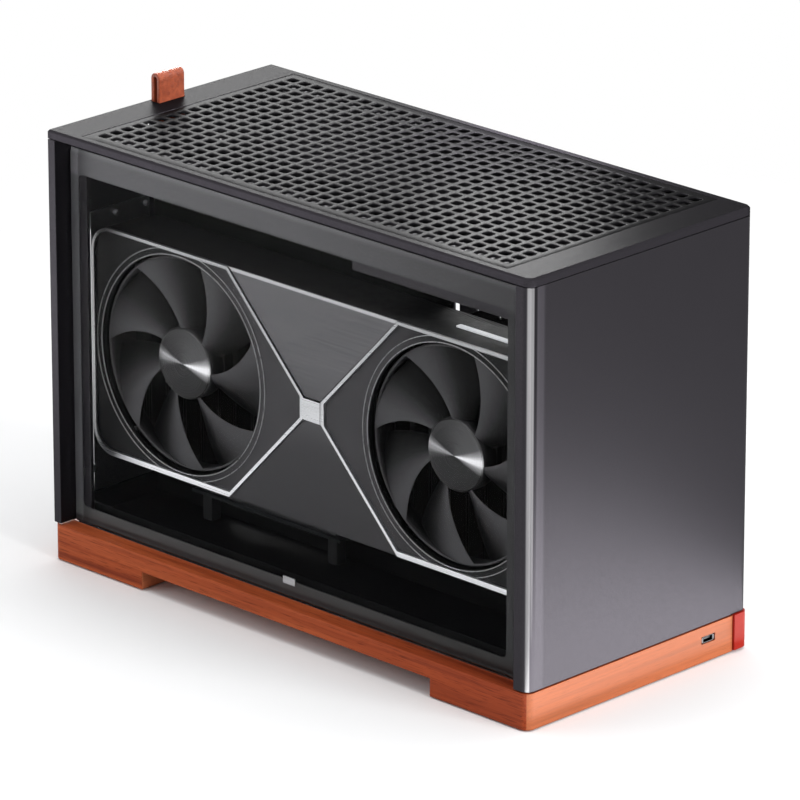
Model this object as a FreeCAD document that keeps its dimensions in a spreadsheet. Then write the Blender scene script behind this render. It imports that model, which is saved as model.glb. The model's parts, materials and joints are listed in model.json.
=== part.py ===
import FreeCAD, Part
import math
import os

import Sketcher

# Small PC case on a wooden plinth, with a graphics card behind its side glass.
# The plain front looks along +X, the glass is on the -Y side and +Z is up.
# The origin is on the floor, under the middle of the whole case. Sizes are millimetres.

SIZES = (
    # Whole case
    ("case_length", 323.2),
    ("case_width", 152),
    ("case_height", 222),
    ("corner_radius", 4.5),
    ("rear_radius", 1.2),
    # Plinth
    ("plinth_height", 19),
    ("pad_proud", 0.8),
    ("pad_sunk", 1),
    ("pad_length", 40),
    ("pad_width", 14),
    ("pad_inset", 12),
    ("pad_room", 0.3),
    ("foot_length", 63),
    ("notch_height", 9.8),
    ("air_length", 170),
    ("air_width", 104),
    # Red key, its switch and the USB port in the plinth
    ("key_width", 10),
    ("key_proud", 1.2),
    ("key_pocket", 11.2),
    ("key_travel", 1.5),
    ("key_room", 0.3),
    ("key_low", 1.4),
    ("key_rise", 0.4),
    ("stem_side", 4),
    ("stem_length", 12),
    ("stem_height", 10),
    ("switch_wall", 4),
    ("switch_room", 20),
    ("switch_length", 9),
    ("switch_width", 8),
    ("switch_floor", 5),
    ("switch_tall", 9),
    ("port_wall", 6),
    ("port_room", 33),
    ("port_room_width", 18),
    ("port_inset", 27.3),
    ("port_height", 12),
    ("port_width", 8.94),
    ("port_tall", 3.26),
    ("port_depth", 10),
    ("port_shell", 0.4),
    ("port_sunk", 0.3),
    ("port_gap", 0.25),
    ("tongue_tall", 0.8),
    ("tongue_width", 5.6),
    ("small_board", 1.6),
    # Folded shell
    ("shell_sheet", 2),
    ("front_return", 9),
    ("rear_return", 5.4),
    ("seat_width", 11),
    ("shadow_gap", 0.8),
    ("lid_flange", 4.2),
    ("lid_seam", 0.4),
    ("lid_sheet", 2.4),
    ("lid_wall", 2),
    ("lid_edge", 1),
    ("tray_sheet", 1.2),
    ("tray_wall", 12),
    ("tray_slot_width", 6),
    ("tray_slot_length", 30),
    ("tray_slot_pitch", 12.5),
    ("tray_slot_count", 12),
    ("tray_slot_place", 40),
    # Grille of the lid
    ("mesh_rear_rim", 20.5),
    ("mesh_front_rim", 18.5),
    ("mesh_side_rim", 4.5),
    ("mesh_sheet", 1.4),
    ("mesh_ledge", 1.6),
    ("mesh_layer_gap", 0.2),
    ("mesh_room", 0.15),
    ("mesh_border_long", 4.88),
    ("mesh_border_cross", 5.57),
    ("mesh_bar_long", 2.97),
    ("mesh_bar_cross", 2.78),
    ("mesh_count_long", 33),
    ("mesh_count_cross", 18),
    # Leather tab
    ("tab_width", 17),
    ("tab_height", 14.6),
    ("tab_strap", 2),
    ("tab_rear_gap", 2.2),
    ("tab_drop", 9),
    ("tab_room", 0.3),
    ("lug_sheet", 2),
    ("lug_width", 24),
    ("lug_notch_room", 2),
    # Side glass and far side panel
    ("glass_recess", 6.3),
    ("glass_thickness", 4),
    ("glass_bevel", 0.6),
    ("border_film", 0.3),
    ("seat_gap", 0.2),
    ("edge_gap", 0.5),
    ("glass_top_gap", 4.6),
    ("border_rear", 5.4),
    ("border_front", 13.6),
    ("border_top", 12.6),
    ("border_low", 7.8),
    ("border_radius", 3),
    ("badge_width", 8),
    ("badge_tall", 3.6),
    ("badge_thickness", 0.5),
    ("badge_rise", 9.6),
    ("peg_side", 4),
    ("peg_fit", 0.05),
    ("peg_reach", 7),
    ("peg_low", 26),
    ("peg_top", 33),
    ("peg_inset", 4.8),
    ("side_sheet", 1.5),
    ("vent_width", 4),
    ("vent_length", 54),
    ("vent_pitch", 15),
    ("vent_count", 16),
    ("vent_row_pitch", 66),
    ("vent_lowered", 24),
    # Rails and spine
    ("rail_sheet", 1.2),
    ("rail_leg", 15.5),
    ("rail_shelf", 10),
    ("rail_gap", 0.1),
    ("lip_drop", 10),
    ("lip_length", 124),
    ("spine_sheet", 1.5),
    ("spine_foot", 14),
    ("spine_top_gap", 4),
    ("spine_card_gap", 3),
    ("ribbon_window_length", 80),
    ("ribbon_window_tall", 16),
    ("ribbon_window_rise", 6),
    ("cable_window_length", 80),
    ("cable_window_tall", 50),
    ("cable_window_rise", 130),
    ("cable_window_inset", 30),
    # Board chamber
    ("board_rear_gap", 1.5),
    ("board_rise", 12),
    ("hole_edge", 6.35),
    ("hole_pitch_long", 154.94),
    ("hole_pitch_tall", 157.48),
    ("standoff_radius", 2.75),
    ("standoff_bore", 1.5),
    ("standoff_height", 6.5),
    ("ports_window_width", 44.4),
    ("ports_window_tall", 158.75),
    ("ports_window_rise", 16),
    ("ports_window_back", 3.6),
    # Power supply bracket and mains inlet
    ("supply_sheet", 1.5),
    ("supply_place", 8.86),
    ("supply_flange", 14),
    ("supply_width", 63.5),
    ("supply_tall", 125),
    ("supply_rim", 6),
    ("supply_hole", 1.8),
    ("supply_hole_edge", 6),
    ("inlet_width", 19.8),
    ("inlet_tall", 27),
    ("inlet_depth", 24),
    ("inlet_flange", 2.2),
    ("inlet_flange_edge", 2),
    ("inlet_wall", 2.4),
    ("inlet_sunk", 16),
    ("inlet_rise", 60),
    ("inlet_window_gap", 3.8),
    ("inlet_room", 0.2),
    ("pin_width", 2),
    ("pin_tall", 4),
    ("pin_length", 11),
    ("pin_spread", 7),
    # Card slot in the rear panel
    ("slot_low", 15),
    ("slot_tall", 133),
    ("slot_side_gap", 3),
    ("slot_width", 48.2),
    ("bracket_sheet", 1),
    ("bracket_width", 39.6),
    ("bracket_overlap", 2.5),
    ("bracket_ear", 9),
    ("outlet_width", 7.4),
    ("outlet_tall", 17),
    ("outlet_depth", 11),
    ("outlet_pitch", 25),
    ("outlet_room", 0.4),
    # Graphics card
    ("card_length", 304),
    ("card_height", 117.5),
    ("card_rear_gap", 3.2),
    ("card_floor_gap", 34),
    ("card_glass_gap", 11.7),
    ("card_radius", 13),
    ("shroud_depth", 26),
    ("shroud_plate", 2.5),
    ("shroud_wall", 2),
    ("fan_from_middle", 91.4),
    ("fan_opening", 55),
    ("trim_width", 1.6),
    ("trim_low_width", 2.6),
    ("trim_proud", 1.4),
    ("cross_reach", 57),
    ("cross_block_width", 11.6),
    ("cross_block_tall", 10.8),
    ("cross_block_proud", 2),
    ("panel_proud", 0.7),
    ("panel_gap", 0.5),
    ("fin_front", 18),
    ("fin_depth", 16.4),
    ("fin_end", 10),
    ("fin_groove", 9),
    ("fin_groove_depth", 12),
    ("fin_pitch", 12),
    ("fin_count", 22),
    ("card_board_sheet", 1.6),
    ("card_board_short", 6),
    ("card_board_edge", 5),
    ("tongue_place", 46),
    ("tongue_length", 85),
    ("tongue_drop", 8.5),
    ("back_plate_sheet", 1.5),
    ("back_plate_depth", 4),
    ("back_plate_edge", 12),
    ("light_place", 234),
    ("light_length", 42),
    ("light_width", 3),
    ("light_proud", 0.8),
    ("light_inset", 12.5),
    # Fans of the card
    ("rotor_front", 1.4),
    ("hub_radius", 18),
    ("hub_depth", 11.2),
    ("hub_roof", 3),
    ("axle_radius", 1.5),
    ("axle_fit", 0.05),
    ("axle_tip_gap", 0.8),
    ("ring_inner", 52.6),
    ("ring_outer", 53.8),
    ("ring_front", 3),
    ("ring_depth", 9),
    ("blade_count", 7),
    ("blade_sheet", 1.4),
    ("blade_middle", 4.8),
    ("blade_pitch", 12),
    ("blade_root", 13),
    ("blade_root_chord", 16),
    ("blade_mid", 34),
    ("blade_mid_chord", 29),
    ("blade_mid_sweep", 4),
    ("blade_tip", 60),
    ("blade_tip_chord", 42),
    ("blade_tip_sweep", 20),
    ("motor_base_side", 24),
    ("motor_base_depth", 3.5),
    # Riser under the card
    ("riser_slot_width", 7.4),
    ("riser_slot_tall", 11),
    ("riser_slot_end", 4),
    ("riser_groove", 1.9),
    ("riser_groove_end", 1.5),
    ("riser_groove_depth", 6.5),
    ("riser_tip_gap", 0.6),
    ("riser_board_edge", 5),
    ("riser_board_width", 12),
    ("riser_post_side", 6),
)

doc = FreeCAD.newDocument("MiniItxCase")
sheet = doc.addObject("Spreadsheet::Sheet", "Sizes")
for row, (alias, value) in enumerate(SIZES, start=1):
    sheet.set(f"A{row}", alias)
    sheet.set(f"B{row}", str(value))
    sheet.setAlias(f"B{row}", alias)
doc.recompute()

# Planes that the pieces share, as expressions on the sheet.
# Places across the case are given as distances from its middle plane.
REAR = "(-Sizes.case_length / 2)"
FRONT = "(Sizes.case_length / 2 - Sizes.key_proud)"
FRONT_INNER = f"({FRONT} - Sizes.shell_sheet)"
FRONT_WALL = f"({FRONT} - Sizes.front_return)"
REAR_INNER = f"({REAR} + Sizes.rear_return)"
REAR_OUTER = f"({REAR_INNER} - Sizes.shell_sheet)"
HALF_WIDTH = "(Sizes.case_width / 2)"
GLASS_OUT = f"({HALF_WIDTH} - Sizes.glass_recess)"
GLASS_BACK = f"({GLASS_OUT} - Sizes.glass_thickness)"
BORDER_BACK = f"({GLASS_BACK} - Sizes.border_film)"
SEAT = f"({BORDER_BACK} - Sizes.seat_gap)"
INNER_HALF = f"({SEAT} - Sizes.shell_sheet)"
DECK = "Sizes.plinth_height"
TRAY_FLOOR = f"({DECK} + Sizes.tray_sheet)"
SHELL_FOOT = f"({DECK} + Sizes.shadow_gap)"
ROOF = "Sizes.case_height"
LID_FOOT = f"({ROOF} - Sizes.lid_flange)"
LID_UNDER = f"({ROOF} - Sizes.lid_sheet)"
SHELL_TOP = f"({LID_FOOT} - Sizes.lid_seam)"
PANE_REAR = f"({REAR_INNER} + Sizes.edge_gap)"
PANE_FRONT = f"({FRONT_WALL} - Sizes.edge_gap)"
PANE_LOW = f"({SHELL_FOOT} + Sizes.edge_gap)"
PANE_HIGH = f"({SHELL_TOP} - Sizes.edge_gap)"
GLASS_HIGH = f"({PANE_HIGH} - Sizes.glass_top_gap)"
CARD_REAR = f"({REAR_INNER} + Sizes.card_rear_gap)"
CARD_FRONT = f"({CARD_REAR} + Sizes.card_length)"
CARD_MIDDLE = f"({CARD_REAR} + Sizes.card_length / 2)"
CARD_LOW = f"({TRAY_FLOOR} + Sizes.card_floor_gap)"
CARD_HIGH = f"({CARD_LOW} + Sizes.card_height)"
CARD_CENTRE = f"({CARD_LOW} + Sizes.card_height / 2)"
CARD_FACE = f"(-{GLASS_BACK} + Sizes.card_glass_gap)"
FIN_FACE = f"({CARD_FACE} + Sizes.fin_front)"
BOARD_FACE = f"({FIN_FACE} + Sizes.fin_depth)"
BOARD_BACK = f"({BOARD_FACE} + Sizes.card_board_sheet)"
CARD_BACK = f"({BOARD_BACK} + Sizes.back_plate_depth)"
SPINE_FACE = f"({CARD_BACK} + Sizes.spine_card_gap)"
SPINE_BACK = f"({SPINE_FACE} + Sizes.spine_sheet)"


# Drawing helpers
def size(alias):
    """Present value of one named size."""
    return float(sheet.get(alias))


def origin_part(body, role):
    """One of the body's own origin planes or axes."""
    for part in body.Origin.OriginFeatures:
        if part.Role == role:
            return part


def new_body(label, x="0", y="0", z="0"):
    """A body named after its piece, with its origin at the given place."""
    body = doc.addObject("PartDesign::Body", label)
    body.Label = label
    for axis, place in (("x", x), ("y", y), ("z", z)):
        body.setExpression(f"Placement.Base.{axis}", place)
    return body


def new_sketch(body, plane, lift="0"):
    """A sketch on an origin plane, lifted along its normal: XY to +Z, XZ to -Y, YZ to +X."""
    sketch = body.newObject("Sketcher::SketchObject", f"{body.Label}_sketch")
    sketch.AttachmentSupport = [(origin_part(body, f"{plane}_Plane"), "")]
    sketch.MapMode = "FlatFace"
    sketch.setExpression("AttachmentOffset.Base.z", lift)
    return sketch


def place_point(sketch, element, point, across, along):
    """Hold one point of a sketch at two expressions, measured from the sketch's origin."""
    for direction, place in (("DistanceX", across), ("DistanceY", along)):
        number = sketch.addConstraint(Sketcher.Constraint(direction, -1, 1, element, point, 1.0))
        sketch.setExpression(f"Constraints[{number}]", place)


def outline(sketch, *corners):
    """A closed outline of straight lines through the corners."""
    first = sketch.GeometryCount
    count = len(corners)
    for index in range(count):
        start = 2 * math.pi * index / count
        end = 2 * math.pi * (index + 1) / count
        line = Part.LineSegment(
            FreeCAD.Vector(math.cos(start), math.sin(start), 0),
            FreeCAD.Vector(math.cos(end), math.sin(end), 0),
        )
        sketch.addGeometry(line)
    for index in range(count):
        following = first + (index + 1) % count
        sketch.addConstraint(Sketcher.Constraint("Coincident", first + index, 2, following, 1))
    for index, (across, along) in enumerate(corners):
        place_point(sketch, first + index, 1, across, along)


def rectangle(sketch, left, right, low, high):
    """A rectangle between four expressions."""
    outline(sketch, (left, low), (right, low), (right, high), (left, high))


def circle(sketch, across, along, radius):
    """A circle about a point given by two expressions."""
    number = sketch.addGeometry(Part.Circle(FreeCAD.Vector(0, 0, 0), FreeCAD.Vector(0, 0, 1), 1))
    place_point(sketch, number, 3, across, along)
    fixed = sketch.addConstraint(Sketcher.Constraint("Radius", number, 1.0))
    sketch.setExpression(f"Constraints[{fixed}]", radius)


def pad(body, sketch, length, reverse=False):
    """Material along the sketch's normal, or against it."""
    feature = body.newObject("PartDesign::Pad", f"{body.Label}_pad")
    feature.Profile = sketch
    feature.Reversed = reverse
    feature.setExpression("Length", length)
    return feature


def pocket(body, sketch, length, along_normal=False):
    """A cut against the sketch's normal, or along it."""
    feature = body.newObject("PartDesign::Pocket", f"{body.Label}_pocket")
    feature.Profile = sketch
    feature.Reversed = along_normal
    feature.setExpression("Length", length)
    return feature


def cut_through(body, sketch):
    """A cut through the whole body, both ways from the sketch."""
    feature = body.newObject("PartDesign::Pocket", f"{body.Label}_cut")
    feature.Profile = sketch
    feature.Type = "ThroughAll"
    feature.SideType = "Symmetric"
    return feature


def revolve(body, sketch):
    """A turned form about the sketch's upright axis."""
    feature = body.newObject("PartDesign::Revolution", f"{body.Label}_turned")
    feature.Profile = sketch
    feature.ReferenceAxis = (sketch, ["V_Axis"])
    return feature


def row(body, feature, axis, pitch, count):
    """A row of equal features along an origin axis."""
    pattern = body.newObject("PartDesign::LinearPattern", f"{body.Label}_row")
    pattern.Originals = [feature]
    pattern.Direction = (origin_part(body, f"{axis}_Axis"), [""])
    pattern.Mode = "Spacing"
    pattern.setExpression("Offset", pitch)
    pattern.setExpression("Occurrences", count)
    body.Tip = pattern
    return pattern


def edges_where(feature, test):
    """Names of the feature's straight edges whose middle point and direction pass a test."""
    doc.recompute()
    names = []
    for number, edge in enumerate(feature.Shape.Edges, start=1):
        if edge.Curve.TypeId != "Part::GeomLine":
            continue
        middle = edge.valueAt((edge.FirstParameter + edge.LastParameter) / 2)
        if test(middle, edge.tangentAt(edge.FirstParameter)):
            names.append(f"Edge{number}")
    return names


def fillet(body, feature, radius, test):
    """Rounded edges, chosen by their place."""
    rounded = body.newObject("PartDesign::Fillet", f"{body.Label}_fillet")
    rounded.Base = (feature, edges_where(feature, test))
    rounded.setExpression("Radius", radius)
    return rounded


def near(value, target):
    """True for two lengths that agree."""
    return abs(value - target) < 1e-4


AXIS_TURN = {
    "x": FreeCAD.Rotation(FreeCAD.Vector(0, 1, 0), 90),
    "y": FreeCAD.Rotation(FreeCAD.Vector(1, 0, 0), -90),
    "z": FreeCAD.Rotation(),
}


def rod(name, axis, place, radius, length):
    """A round rod that starts at a place and runs along +X, +Y or +Z."""
    cylinder = doc.addObject("Part::Cylinder", name)
    cylinder.Placement = FreeCAD.Placement(FreeCAD.Vector(0, 0, 0), AXIS_TURN[axis])
    for letter, where in zip("xyz", place):
        cylinder.setExpression(f"Placement.Base.{letter}", where)
    cylinder.setExpression("Radius", radius)
    cylinder.setExpression("Height", length)
    return cylinder


def group(label, pieces):
    """Equal pieces kept as one named set of separate solids."""
    compound = doc.addObject("Part::Compound", label)
    compound.Label = label
    compound.Links = pieces
    return compound


def block(name, corner, length, width, height):
    """A plain block that starts at a corner and runs along +X, +Y and +Z."""
    box = doc.addObject("Part::Box", name)
    for letter, where in zip("xyz", corner):
        box.setExpression(f"Placement.Base.{letter}", where)
    box.setExpression("Length", length)
    box.setExpression("Width", width)
    box.setExpression("Height", height)
    return box


# Wooden plinth on four rubber pads
PORT_MIDDLE = f"({HALF_WIDTH} - Sizes.port_inset)"
PORT_ROOM_FRONT = f"({FRONT} - Sizes.port_wall)"
PORT_ROOM_REAR = f"({PORT_ROOM_FRONT} - Sizes.port_room)"
PORT_LOW = "(Sizes.port_height - Sizes.port_tall / 2)"
PORT_BOARD_LOW = f"({PORT_LOW} - Sizes.small_board)"
KEY_POCKET_REAR = f"({FRONT} - Sizes.key_pocket)"
KEY_INNER = f"({HALF_WIDTH} - Sizes.key_width)"
KEY_MIDDLE = f"({HALF_WIDTH} - Sizes.key_width / 2)"
SWITCH_ROOM_FRONT = f"({KEY_POCKET_REAR} - Sizes.switch_wall)"
SWITCH_ROOM_REAR = f"({SWITCH_ROOM_FRONT} - Sizes.switch_room)"
SWITCH_SIDE = "(Sizes.switch_width / 2)"
PAD_ENDS = (
    (f"{REAR} + Sizes.pad_inset", f"{REAR} + Sizes.pad_inset + Sizes.pad_length"),
    (f"{FRONT} - Sizes.pad_inset - Sizes.pad_length", f"{FRONT} - Sizes.pad_inset"),
)
PAD_SIDES = (
    (f"-{HALF_WIDTH} + Sizes.pad_inset", f"-{HALF_WIDTH} + Sizes.pad_inset + Sizes.pad_width"),
    (f"{HALF_WIDTH} - Sizes.pad_inset - Sizes.pad_width", f"{HALF_WIDTH} - Sizes.pad_inset"),
)

plinth = new_body("wood_plinth")
plinth_plan = new_sketch(plinth, "XY", "Sizes.pad_proud")
rectangle(plinth_plan, REAR, FRONT, f"-{HALF_WIDTH}", HALF_WIDTH)
plinth_block = pad(plinth, plinth_plan, f"{DECK} - Sizes.pad_proud")
fillet(plinth, plinth_block, "Sizes.corner_radius", lambda middle, way: near(abs(way.z), 1))
notch = new_sketch(plinth, "XZ")
rectangle(notch, f"{REAR} + Sizes.foot_length", f"{FRONT} - Sizes.foot_length", "0", "Sizes.notch_height")
cut_through(plinth, notch)
air_way = new_sketch(plinth, "XY", DECK)
rectangle(
    air_way,
    "-Sizes.air_length / 2",
    "Sizes.air_length / 2",
    "-Sizes.air_width / 2",
    "Sizes.air_width / 2",
)
cut_through(plinth, air_way)
key_corner = new_sketch(plinth, "XY", DECK)
rectangle(
    key_corner,
    KEY_POCKET_REAR,
    f"{FRONT} + Sizes.key_proud",
    f"{KEY_INNER} - Sizes.key_room",
    f"{HALF_WIDTH} + Sizes.key_width",
)
cut_through(plinth, key_corner)
switch_room = new_sketch(plinth, "XY", DECK)
rectangle(
    switch_room,
    SWITCH_ROOM_REAR,
    SWITCH_ROOM_FRONT,
    f"{KEY_MIDDLE} - {SWITCH_SIDE} - Sizes.key_room",
    f"{KEY_MIDDLE} + {SWITCH_SIDE} - Sizes.key_room",
)
pocket(plinth, switch_room, f"{DECK} - Sizes.switch_floor")
stem_way = new_sketch(plinth, "YZ", KEY_POCKET_REAR)
rectangle(
    stem_way,
    f"{KEY_MIDDLE} - Sizes.stem_side / 2 - Sizes.key_room",
    f"{KEY_MIDDLE} + Sizes.stem_side / 2 + Sizes.key_room",
    "Sizes.stem_height - Sizes.stem_side / 2 - Sizes.key_room",
    "Sizes.stem_height + Sizes.stem_side / 2 + Sizes.key_room",
)
pocket(plinth, stem_way, "Sizes.switch_wall")
port_room = new_sketch(plinth, "XY", DECK)
rectangle(
    port_room,
    PORT_ROOM_REAR,
    PORT_ROOM_FRONT,
    f"{PORT_MIDDLE} - Sizes.port_room_width / 2",
    f"{PORT_MIDDLE} + Sizes.port_room_width / 2",
)
pocket(plinth, port_room, f"{DECK} - {PORT_BOARD_LOW}")
port_way = new_sketch(plinth, "YZ", FRONT)
rectangle(
    port_way,
    f"{PORT_MIDDLE} - Sizes.port_width / 2 - Sizes.port_gap",
    f"{PORT_MIDDLE} + Sizes.port_width / 2 + Sizes.port_gap",
    f"{PORT_LOW} - Sizes.port_gap",
    f"{PORT_LOW} + Sizes.port_tall + Sizes.port_gap",
)
pocket(plinth, port_way, "Sizes.port_wall")
pad_seats = new_sketch(plinth, "XY", "Sizes.pad_proud")
for pad_rear, pad_front in PAD_ENDS:
    for pad_near, pad_far in PAD_SIDES:
        rectangle(
            pad_seats,
            f"{pad_rear} - Sizes.pad_room",
            f"{pad_front} + Sizes.pad_room",
            f"{pad_near} - Sizes.pad_room",
            f"{pad_far} + Sizes.pad_room",
        )
pocket(plinth, pad_seats, "Sizes.pad_sunk", along_normal=True)

rubber = []
for pad_rear, pad_front in PAD_ENDS:
    for pad_near, pad_far in PAD_SIDES:
        rubber.append(
            block(
                "rubber_pad",
                (pad_rear, pad_near, "0"),
                "Sizes.pad_length",
                "Sizes.pad_width",
                "Sizes.pad_proud + Sizes.pad_sunk",
            )
        )
group("rubber_feet", rubber)

# Red key with its stem, and the switch behind it
key = new_body("power_button")
key_plan = new_sketch(key, "XY", "Sizes.key_low")
rectangle(
    key_plan,
    f"{KEY_POCKET_REAR} + Sizes.key_travel + Sizes.key_room",
    f"{FRONT} + Sizes.key_proud",
    KEY_INNER,
    HALF_WIDTH,
)
key_block = pad(key, key_plan, f"{DECK} + Sizes.key_rise - Sizes.key_low")
key_front = size("case_length") / 2
key_side = size("case_width") / 2
fillet(
    key,
    key_block,
    "Sizes.corner_radius",
    lambda middle, way: near(abs(way.z), 1) and near(middle.x, key_front) and near(middle.y, key_side),
)
stem = new_sketch(key, "YZ", f"{KEY_POCKET_REAR} + Sizes.key_travel + Sizes.key_room")
rectangle(
    stem,
    f"{KEY_MIDDLE} - Sizes.stem_side / 2",
    f"{KEY_MIDDLE} + Sizes.stem_side / 2",
    "Sizes.stem_height - Sizes.stem_side / 2",
    "Sizes.stem_height + Sizes.stem_side / 2",
)
pad(key, stem, "Sizes.stem_length", reverse=True)

SWITCH_FRONT = f"({KEY_POCKET_REAR} - Sizes.stem_length)"
switch = new_body("switch_body")
switch_side = new_sketch(switch, "YZ", SWITCH_FRONT)
rectangle(
    switch_side,
    f"{KEY_MIDDLE} - {SWITCH_SIDE}",
    f"{KEY_MIDDLE} + {SWITCH_SIDE} - 2 * Sizes.key_room",
    "Sizes.switch_floor",
    "Sizes.switch_floor + Sizes.switch_tall",
)
pad(switch, switch_side, "Sizes.switch_length", reverse=True)

# USB port on its board in the plinth's front
PORT_FACE = f"({FRONT} - Sizes.port_sunk)"
port = new_body("usb_port")
port_section = new_sketch(port, "YZ", PORT_FACE)
rectangle(
    port_section,
    f"{PORT_MIDDLE} - Sizes.port_width / 2",
    f"{PORT_MIDDLE} + Sizes.port_width / 2",
    PORT_LOW,
    f"{PORT_LOW} + Sizes.port_tall",
)
port_block = pad(port, port_section, "Sizes.port_depth", reverse=True)
port_round = fillet(port, port_block, "Sizes.port_tall / 2 - 0.1", lambda middle, way: near(abs(way.x), 1))
port_mouth = new_sketch(port, "YZ", PORT_FACE)
rectangle(
    port_mouth,
    f"{PORT_MIDDLE} - Sizes.port_width / 2 + Sizes.port_tall / 2 - Sizes.port_shell",
    f"{PORT_MIDDLE} + Sizes.port_width / 2 - Sizes.port_tall / 2 + Sizes.port_shell",
    f"{PORT_LOW} + Sizes.port_shell",
    f"{PORT_LOW} + Sizes.port_tall - Sizes.port_shell",
)
pocket(port, port_mouth, "Sizes.port_depth - Sizes.port_shell")

tongue = new_body("usb_tongue")
tongue_section = new_sketch(tongue, "YZ", f"{PORT_FACE} - Sizes.port_depth + Sizes.port_shell")
rectangle(
    tongue_section,
    f"{PORT_MIDDLE} - Sizes.tongue_width / 2",
    f"{PORT_MIDDLE} + Sizes.tongue_width / 2",
    "Sizes.port_height - Sizes.tongue_tall / 2",
    "Sizes.port_height + Sizes.tongue_tall / 2",
)
pad(tongue, tongue_section, "Sizes.port_depth - 4 * Sizes.port_shell")

port_board = new_body("usb_board")
port_board_plan = new_sketch(port_board, "XY", PORT_BOARD_LOW)
rectangle(
    port_board_plan,
    f"{PORT_ROOM_REAR} + Sizes.key_room",
    f"{PORT_ROOM_FRONT} - Sizes.key_room",
    f"{PORT_MIDDLE} - Sizes.port_room_width / 2 + Sizes.key_room",
    f"{PORT_MIDDLE} + Sizes.port_room_width / 2 - Sizes.key_room",
)
pad(port_board, port_board_plan, "Sizes.small_board")

# Base tray, a folded pan with a row of air slots under the board
tray = new_body("base_tray")
tray_plan = new_sketch(tray, "XY", DECK)
rectangle(tray_plan, REAR_INNER, FRONT_INNER, f"-{INNER_HALF}", INNER_HALF)
pad(tray, tray_plan, "Sizes.tray_wall")
tray_hollow = new_sketch(tray, "XY", f"{DECK} + Sizes.tray_wall")
rectangle(
    tray_hollow,
    f"{REAR_INNER} + Sizes.tray_sheet",
    f"{FRONT_INNER} - Sizes.tray_sheet",
    f"-{INNER_HALF} + Sizes.tray_sheet",
    f"{INNER_HALF} - Sizes.tray_sheet",
)
pocket(tray, tray_hollow, "Sizes.tray_wall - Sizes.tray_sheet")
tray_slots = new_sketch(tray, "XY", TRAY_FLOOR)
FIRST_TRAY_SLOT = "(-(Sizes.tray_slot_count - 1) * Sizes.tray_slot_pitch / 2)"
rectangle(
    tray_slots,
    f"{FIRST_TRAY_SLOT} - Sizes.tray_slot_width / 2",
    f"{FIRST_TRAY_SLOT} + Sizes.tray_slot_width / 2",
    "Sizes.tray_slot_place - Sizes.tray_slot_length / 2",
    "Sizes.tray_slot_place + Sizes.tray_slot_length / 2",
)
tray_slot_cut = pocket(tray, tray_slots, "Sizes.tray_sheet")
row(tray, tray_slot_cut, "X", "Sizes.tray_slot_pitch", "Sizes.tray_slot_count")

# Front panel: one folded profile with rounded upright edges and seats for the sides
PEG_REAR = f"({PANE_REAR} + Sizes.peg_inset)"
PEG_FRONT = f"({PANE_FRONT} - Sizes.peg_inset)"
PEG_LOW = f"({PANE_LOW} + Sizes.peg_low)"
PEG_HIGH = f"({PANE_HIGH} - Sizes.peg_top)"
PEG_HALF = "(Sizes.peg_side / 2)"
PEG_WAY = "(Sizes.peg_side / 2 + Sizes.peg_fit)"
FRONT_WALL_INNER = f"({FRONT_WALL} + Sizes.shell_sheet)"
FRONT_SEAT_TIP = f"({FRONT_WALL} - Sizes.seat_width)"
SIDE_INNER = f"({HALF_WIDTH} - Sizes.shell_sheet)"
front = new_body("front_panel")
front_profile = new_sketch(front, "XY", SHELL_FOOT)
outline(
    front_profile,
    (FRONT_SEAT_TIP, f"-{SEAT}"),
    (FRONT_WALL, f"-{SEAT}"),
    (FRONT_WALL, f"-{HALF_WIDTH}"),
    (FRONT, f"-{HALF_WIDTH}"),
    (FRONT, HALF_WIDTH),
    (FRONT_WALL, HALF_WIDTH),
    (FRONT_WALL, SEAT),
    (FRONT_SEAT_TIP, SEAT),
    (FRONT_SEAT_TIP, INNER_HALF),
    (FRONT_WALL_INNER, INNER_HALF),
    (FRONT_WALL_INNER, SIDE_INNER),
    (FRONT_INNER, SIDE_INNER),
    (FRONT_INNER, f"-{SIDE_INNER}"),
    (FRONT_WALL_INNER, f"-{SIDE_INNER}"),
    (FRONT_WALL_INNER, f"-{INNER_HALF}"),
    (FRONT_SEAT_TIP, f"-{INNER_HALF}"),
)
front_block = pad(front, front_profile, f"{SHELL_TOP} - {SHELL_FOOT}")
front_face = size("case_length") / 2 - size("key_proud")
outer_round = fillet(
    front,
    front_block,
    "Sizes.corner_radius",
    lambda middle, way: near(abs(way.z), 1) and near(middle.x, front_face),
)
inner_side = size("case_width") / 2 - size("shell_sheet")
fillet(
    front,
    outer_round,
    "Sizes.corner_radius - Sizes.shell_sheet",
    lambda middle, way: near(abs(way.z), 1)
    and near(middle.x, front_face - size("shell_sheet"))
    and near(abs(middle.y), inner_side),
)
front_peg_ways = new_sketch(front, "XZ")
for height in (PEG_LOW, PEG_HIGH):
    rectangle(
        front_peg_ways,
        f"{PEG_FRONT} - {PEG_WAY}",
        f"{PEG_FRONT} + {PEG_WAY}",
        f"{height} - {PEG_WAY}",
        f"{height} + {PEG_WAY}",
    )
cut_through(front, front_peg_ways)

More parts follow.
